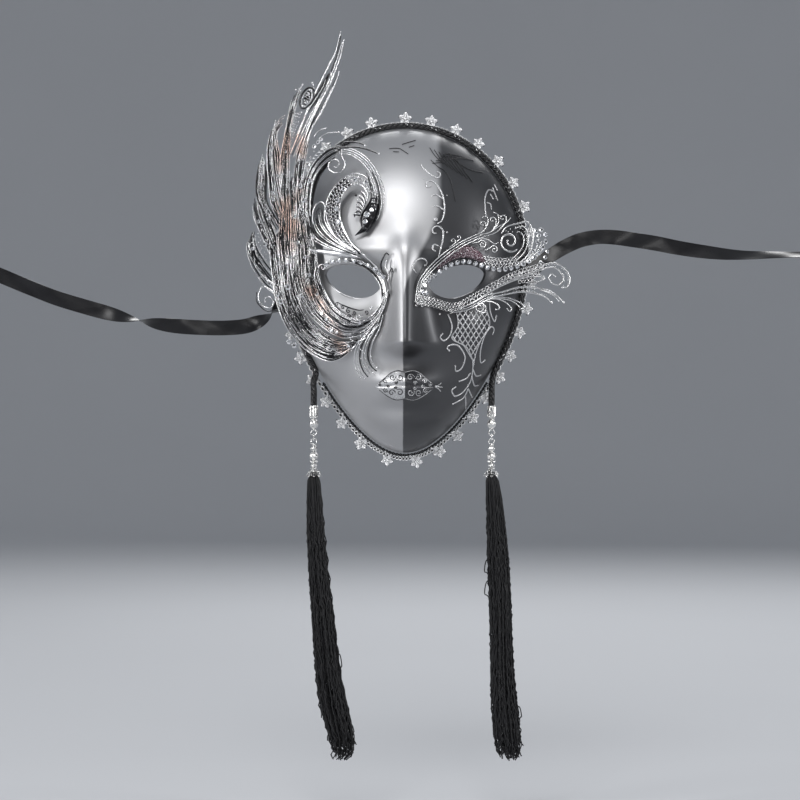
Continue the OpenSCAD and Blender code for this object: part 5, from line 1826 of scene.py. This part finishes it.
def ornament(kind, metals, slot, seed, pieces):
    """Makes the named pieces in order, all from one run of chance."""
    rng = random.Random(seed)
    for name, node, draw in pieces:
        piece = Filigree(name, kind, rng)
        draw(piece)
        piece.make(metals, slot, nodes=[node])


def bird_wing():
    ornament("wing", WING_METALS, "cut_metal", 77, [
        ("under_eye_filaments", "under_eye_feathers", under_eye_feathers),
        ("lower_wing_filaments", "lower_plumes", lower_plumes),
        ("back_wing_plumes", "back_plumes", back_plumes),
        ("tail_filaments", "tail_plumes", tail_plumes),
        ("forehead_arc_filaments", "forehead_arcs", forehead_arcs),
        ("neck_filigree", "bird_neck", bird_neck),
        ("bird_head_cut", "bird_head", bird_head),
        ("bird_crest_feathers", "bird_crest", bird_crest),
        ("brow_feather_cut", "brow_feather", brow_feather),
        ("cheek_filaments", "cheek_feathers", cheek_feathers),
        ("nose_bridge_leaf", "nose_leaf", nose_leaf),
    ])
    wing_stones()


# ---- eye frame ----
LID_ROW = [
    (11, -3.5), (12.5, 0.5), (15.5, 3.8), (19, 6.8), (22.5, 9.8), (26, 12.4), (30, 14.4), (34, 15.8),
    (38, 16.6), (42, 16.4), (46, 15.4), (50, 14.2), (54, 13), (58, 12.2), (62, 11.8), (66, 12.2), (70, 13),
    (74, 14.2), (78, 15.8), (81.8, 17.8), (85.4, 20.4), (88.6, 23.4), (91.2, 27), (93, 31), (93, 35.4),
    (90, 38.5),
]


FRAME_METALS = [PALE_SILVER, DARK_METAL_AND_SHADE, WINE_NET]


def frame_upper(upper):
    top = [(6.4, -11), (8.4, 1.8), (13, 9.6), (20.4, 17.6), (29, 24.4), (36.7, 29.6), (45.1, 33.8),
        (52.4, 37.4)]
    bed = [(8.6, -9), (10.8, 1.2), (15.4, 7.6), (22.2, 14.8), (30.6, 21.4), (38, 26.8), (46.4, 31),
        (54, 34.4)]
    upper.bundle(top, bed, 3, 0.95, 0.7, 0.0, 0.02)
    upper.curl(50.8, 41.6, 2.3, -20, 330, 0.85, 0.7, 0, [(46, 34.4), (50.6, 36.6), (53, 39.4)], 0.5)
    upper.curl(57.4, 44.4, 2.5, -20, 330, 0.85, 0.7, 0, [(49, 34.6), (55.7, 36.4), (59.4, 40.6)], 0.5)
    upper.curl(64.2, 45.8, 2.6, -20, 330, 0.85, 0.7, 0, [(52, 33.6), (59.4, 36.2), (65, 41.4)], 0.5)
    net_top = [(20.6, 14), (28, 20.6), (34.4, 25.6), (38.8, 27.6), (44.6, 26.2), (48.6, 23.6), (51.8, 20)]
    net_low = [(21.4, 11.4), (28, 15.8), (33.6, 18.2), (38.6, 19), (43.8, 18.4), (48.2, 17), (52, 15.8)]
    upper.plate(net_top, net_low, 0.15, 0.1, 2, 34, 4)
    upper.beading(net_top, net_low, 5, 1.45, 0.42, 0.5, 2, 0.95)
    upper.beading(net_top, net_low, 4, 1.9, 0.36, 0.7, 0, 0.5)
    upper.loops([(51.6, 20.6), (58, 20), (66, 19.6), (74, 20.6)], [(51.6, 14.6), (58, 13.6), (66, 13.6),
        (74, 15.4)], 3, 2.1, 0.55, 0.5)
    upper.loops([(8.4, -1), (11, 4.6), (16, 9.8)], [(11.6, -0.6), (14, 3.6), (18.6, 8)], 2, 1.9, 0.5, 0.5)
    upper.curl(50.6, 28.2, 3.0, 150, -470, 0.8, 0.7, 0, [(44, 28.6)], 0.5)
    upper.curl(58.4, 25, 2.9, 160, -470, 0.8, 0.7, 0, [(52, 24.2)], 0.5)
    upper.wire([(45, 31), (50, 32.4), (55, 31), (58.6, 28.6), (61, 29.6)], 0.8, 0.7, 0.6, 0, 0.5)


def frame_lower(lower):
    strip_top = [(36, -9.6), (45.1, -4.4), (52, 0), (58.8, 4.2), (66, 8.4), (73, 11.6), (82, 14.4), (91, 17)]
    strip_low = [(36, -14.4), (46, -9), (53.4, -4.2), (60.6, -0.2), (68, 3.6), (75.4, 7), (83.4, 10),
        (92, 12.6)]
    lower.loops(strip_top, strip_low, 2, 2.5, 0.6, 0.5)
    lower.wire(strip_low, 0.9, 0.8, 0.6, 0, 0, 1.3, 0.2)
    lower.beading(strip_top, strip_low, 1, 2.5, 0.42, 0.8, 0, 0.9)
    lid_top = [(11.6, -6), (17, -7), (24, -9.4), (30, -10.6), (37, -10)]
    lid_low = [(8, -12.6), (17, -13.4), (24.6, -15.6), (30.6, -16.6), (37.4, -14.6)]
    lower.loops(lid_top, lid_low, 3, 1.9, 0.5, 0.4)
    lower.loops([(9, -3.6), (8, -8), (6.6, -12.6)], [(12.4, -5.4), (12.4, -9), (12, -12.6)], 3, 1.7, 0.5, 0.4)
    lower.beading(lid_top, lid_low, 3, 1.9, 0.34, 0.6, 0, 0.8)
    lower.beading([(9, -3.6), (7.4, -12)], [(12.4, -5), (12, -12)], 3, 1.6, 0.36, 0.6, 2, 0.7)
    lower.bundle([(28, -15.6), (40, -12.6), (50, -7.2), (58, -3)], [(29, -17.4), (41, -15), (51, -9.6),
        (60, -5.4)], 3, 0.8, 0.6, 0.0, 0.04)
    lower.curl(48.4, -13.4, 3.3, 60, -520, 0.8, 0.7, 0, [(42, -11)], 0.5)


def frame_spiral(coil):
    coil.wire(spiral(68.9, 30.6, 7.2, 1.4, -45, -560, 44), 1.35, 0.9, 0.8, 0, 0.7, 0.9, 0.25)
    c_outer = [(74, 15.7), (80.4, 20.8), (84, 29), (84.4, 37), (81, 43.4), (75, 42.6), (67.2, 40.4),
        (63.6, 36)]
    coil.wire(c_outer, 1.1, 0.85, 0.7, 0, 0.5, 1.1, 0.2)
    coil.wire([(72.6, 17.4), (78, 22.6), (81, 29.4), (81, 36), (78.4, 40.6), (73, 39.6)], 0.9, 0.8, 0.7, 0,
        0.4)
    coil.wire([(71, 19.4), (76, 24.6), (78.4, 30.4), (77.6, 35.6), (74.4, 37.4)], 0.8, 0.8, 0.7, 0, 0.4)
    for k in range(3):
        coil.wire([(73 + k, 15 - 0.2 * k), (80 + 1.2 * k, 18.6), (86 + 1.4 * k, 25 - k),
            (88.6 + 1.5 * k, 33 - 2 * k)], 0.9, 0.8, 0.6, 0, 0.5, 1.2, 0.3)
    coil.beading([(82.6, 28), (83, 36), (80, 42), (73, 41)], [(79.6, 30), (79.4, 35), (77, 38),
        (73, 38.6)], 2, 1.6, 0.42, 0.9, 0, 0.9)
    coil.beading([(66, 38), (72, 40)], [(68, 37), (74, 36)], 2, 1.6, 0.4, 0.9, 0, 0.9)


def frame_scrolls(scrolls):
    scrolls.curl(31, 29.8, 2.1, -60, 340, 0.7, 0.7, 0, [(28.6, 25.4)], 0.45)
    scrolls.curl(34.8, 32.4, 1.8, -90, 330, 0.7, 0.7, 0, [(33, 28.6)], 0.45)
    scrolls.wire([(52, 38), (54.6, 43), (53.4, 47), (50.8, 46)], 0.7, 0.7, 0.5, 0, 0.45)
    scrolls.wire([(58, 38), (61.4, 43), (61, 48.4), (58.4, 49.4)], 0.7, 0.7, 0.5, 0, 0.45)
    scrolls.wire([(57, 37), (62, 40.6), (66.8, 43), (69.4, 46)], 0.7, 0.7, 0.5, 0, 0.45)


def frame_tails(tails):
    t1_out = [(86, 13.6), (92, 15.4), (98.8, 16.8), (105.6, 13.6), (109.4, 7.3), (108, 1.4), (104.4, 0.6)]
    t1_in = [(86, 11.6), (92, 13), (98.4, 14), (102.6, 11), (105, 6.3), (104, 2.6), (101.6, 3)]
    tails.wire(t1_out, 1.1, 0.85, 0.7, 0, 0.7, 1.1, 0.2)
    tails.wire(t1_in[:5] + [(102, 2.4), (97.4, 3.4), (95.2, 7), (97.4, 9.6), (99.6, 8)], 0.9, 0.8, 0.7, 0,
        0.6, 1, 0.2)
    tails.beading(t1_out[:6], t1_in[:6], 2, 1.7, 0.45, 0.8, 0, 0.9)
    for k in range(2):
        tails.wire([(60, 0.6 - k), (72.5, 6.6 - 1.4 * k), (82.6, 9.2 - 1.6 * k), (90.6, 8.4 - 1.4 * k),
            (92.4 - k, 6 - 0.6 * k), (88.6 - k, 4.8 - 0.4 * k)], 0.9, 0.8, 0.6, 0, 0.5, 1.1, 0.2)
    t3_out = [(54, -5), (64, -2.6), (75.6, 0.6), (87.2, 0.2), (97.7, -2.8), (105.4, -9.3)]
    t3_in = [(54, -6.4), (64, -4.8), (75.6, -2.6), (84, -3.2), (92, -5.4), (97.2, -9.4)]
    tails.wire(t3_out, 1.2, 0.85, 0.7, 0, 0.8, 1.2, 0.2)
    tails.wire(t3_in, 1.0, 0.85, 0.7, 0, 0.9, 1.2, 0.2)
    tails.wire([(90, -1.2), (97, -3.8), (102, -8.2)], 0.9, 0.8, 0.6, 0, 0.5)
    tails.beading(t3_out[1:5], t3_in[1:5], 2, 1.6, 0.42, 0.8, 0, 0.95)
    for line in ([(54, -7), (60, -6.2), (68.3, -6.8), (75.6, -9.5), (78.8, -12.7), (77, -13.6)],
                 [(53, -8), (60, -7.4), (66, -9.5), (70.2, -13.6), (68.8, -15.6), (67.4, -14)],
                 [(54, -7.6), (62, -7), (70.4, -8.6), (75.4, -12.4)],
                 [(52, -9), (57, -9.4), (61.4, -11.6), (62, -14), (59.6, -14.4)],
                 [(50, -10), (53, -13), (52, -16.4), (49, -17)]):
        tails.wire(line, 0.9, 0.8, 0.6, 0, 0.55, 1.0, 0.25)
    tails.loops([(74, 9.6), (80, 11.4), (86, 12.6)], [(76, 3), (83, 4), (88, 9.6)], 3, 2.2, 0.5, 0.4)


def frame_stones():
    row = [(x, z, 1.55) for x, z in LID_ROW]
    row += [(13.8, -4.2, 1.4), (87.4, 30.4, 1.4), (88.4, 34.6, 1.4), (86.6, 37.8, 1.4), (84.6, 24.8, 1.3),
            (92.8, 20.4, 1.3),
            (89.6, 17.2, 1.2), (94.2, 24.4, 1.2)]
    stones("right_lid_rhinestones", "eye", row, 0.9, ["right_eye_stones"], 93)


def eye_frame():
    ornament("eye", FRAME_METALS, "frame_metal", 55, [
        ("upper_frame_filigree", "eye_frame_upper", frame_upper),
        ("lower_frame_filigree", "eye_frame_lower", frame_lower),
        ("frame_spiral_cut", "eye_frame_spiral", frame_spiral),
        ("frame_top_scrolls", "eye_frame_scrolls", frame_scrolls),
        ("frame_tail_filigree", "eye_frame_tails", frame_tails),
    ])
    frame_stones()


lips(-1)
lips(1)
face_paint()
bird_wing()
eye_frame()


# ---- studio ----
FLOOR_Z = -0.36
FLOOR_R = 3.0
COVE_R = 2.0
WALL_H = 4.5
AIM = Vector((0, 0, -0.05))


def studio_finish():
    r = Recipe("studio_grey")
    cloud = r.noise(1.2, 3)
    return r.surface(r.mix(cloud, (0.50, 0.51, 0.53), (0.54, 0.55, 0.57)), 0.85, specular_ior_level=0.1)


def studio():
    """A pale floor that sweeps up into a round wall far outside every view."""
    sides = 96
    profile = [(1.0, 0.0), (2.0, 0.0), (FLOOR_R, 0.0)]
    for i in range(1, 13):
        a = 0.5 * math.pi * i / 12
        profile.append((FLOOR_R + COVE_R * math.sin(a), COVE_R - COVE_R * math.cos(a)))
    profile.append((FLOOR_R + COVE_R, WALL_H))
    points = [(0, 0, FLOOR_Z)]
    for r, z in profile:
        for j in range(sides):
            a = FULL * j / sides
            points.append((r * math.cos(a), r * math.sin(a), FLOOR_Z + z))
    faces = [(0, 1 + j, 1 + (j + 1) % sides) for j in range(sides)]
    for i in range(len(profile) - 1):
        a, b = 1 + i * sides, 1 + (i + 1) * sides
        for j in range(sides):
            k = (j + 1) % sides
            faces.append((a + j, b + j, b + k, a + k))
    mesh = bpy.data.meshes.new("studio_floor")
    mesh.from_pydata(points, [], faces)
    mesh.polygons.foreach_set("use_smooth", [True] * len(faces))
    mesh.materials.append(studio_finish())
    floor = bpy.data.objects.new("studio_floor", mesh)
    bpy.context.scene.collection.objects.link(floor)


def aimed(thing, place):
    """Puts a lamp or card in its place, turned towards the mask."""
    thing.location = place
    thing.rotation_euler = (AIM - Vector(place)).to_track_quat("-Z", "Y").to_euler()
    bpy.context.scene.collection.objects.link(thing)


def lamp(name, place, size, power):
    data = bpy.data.lights.new(name, "AREA")
    data.shape = "RECTANGLE"
    data.size, data.size_y = size
    data.energy = power
    aimed(bpy.data.objects.new(name, data), place)


def flag(name, place, size):
    """A black card that only shows in reflections."""
    r = Recipe(name + "_card")
    material = r.surface((0.01, 0.01, 0.01), 0.9)
    w, h = 0.5 * size[0], 0.5 * size[1]
    mesh = bpy.data.meshes.new(name)
    mesh.from_pydata([(-w, -h, 0), (w, -h, 0), (w, h, 0), (-w, h, 0)], [], [(0, 1, 2, 3)])
    mesh.materials.append(material)
    card = bpy.data.objects.new(name, mesh)
    aimed(card, place)
    card.visible_camera = False
    card.visible_shadow = False
    card.visible_diffuse = False


def world():
    made = bpy.data.worlds.new("soft_room")
    made.use_nodes = True
    shade = made.node_tree.nodes["Background"]
    shade.inputs["Color"].default_value = (0.80, 0.84, 0.90, 1)
    shade.inputs["Strength"].default_value = 0.50
    bpy.context.scene.world = made
    bpy.context.scene.view_settings.view_transform = "Standard"


world()
studio()
lamp("key_box", (-0.25, -1.5, 1.35), (0.9, 0.7), 17)
lamp("left_strip", (-1.7, -0.9, 0.35), (0.35, 1.5), 19)
lamp("right_strip", (1.8, -0.6, 0.30), (0.3, 1.4), 15)
lamp("front_glow", (0.1, -2.6, 0.1), (0.5, 0.5), 7)
lamp("back_box", (0.3, 1.8, 1.2), (1.4, 0.9), 22)
flag("front_card", (0.0, -3.0, 0.4), (4.4, 2.8))
flag("left_card", (-1.2, -2.0, 0.1), (0.8, 2.2))
flag("right_card", (1.2, -1.8, 0.1), (0.8, 2.2))
flag("low_card", (0.0, -1.2, -0.8), (2.6, 1.0))
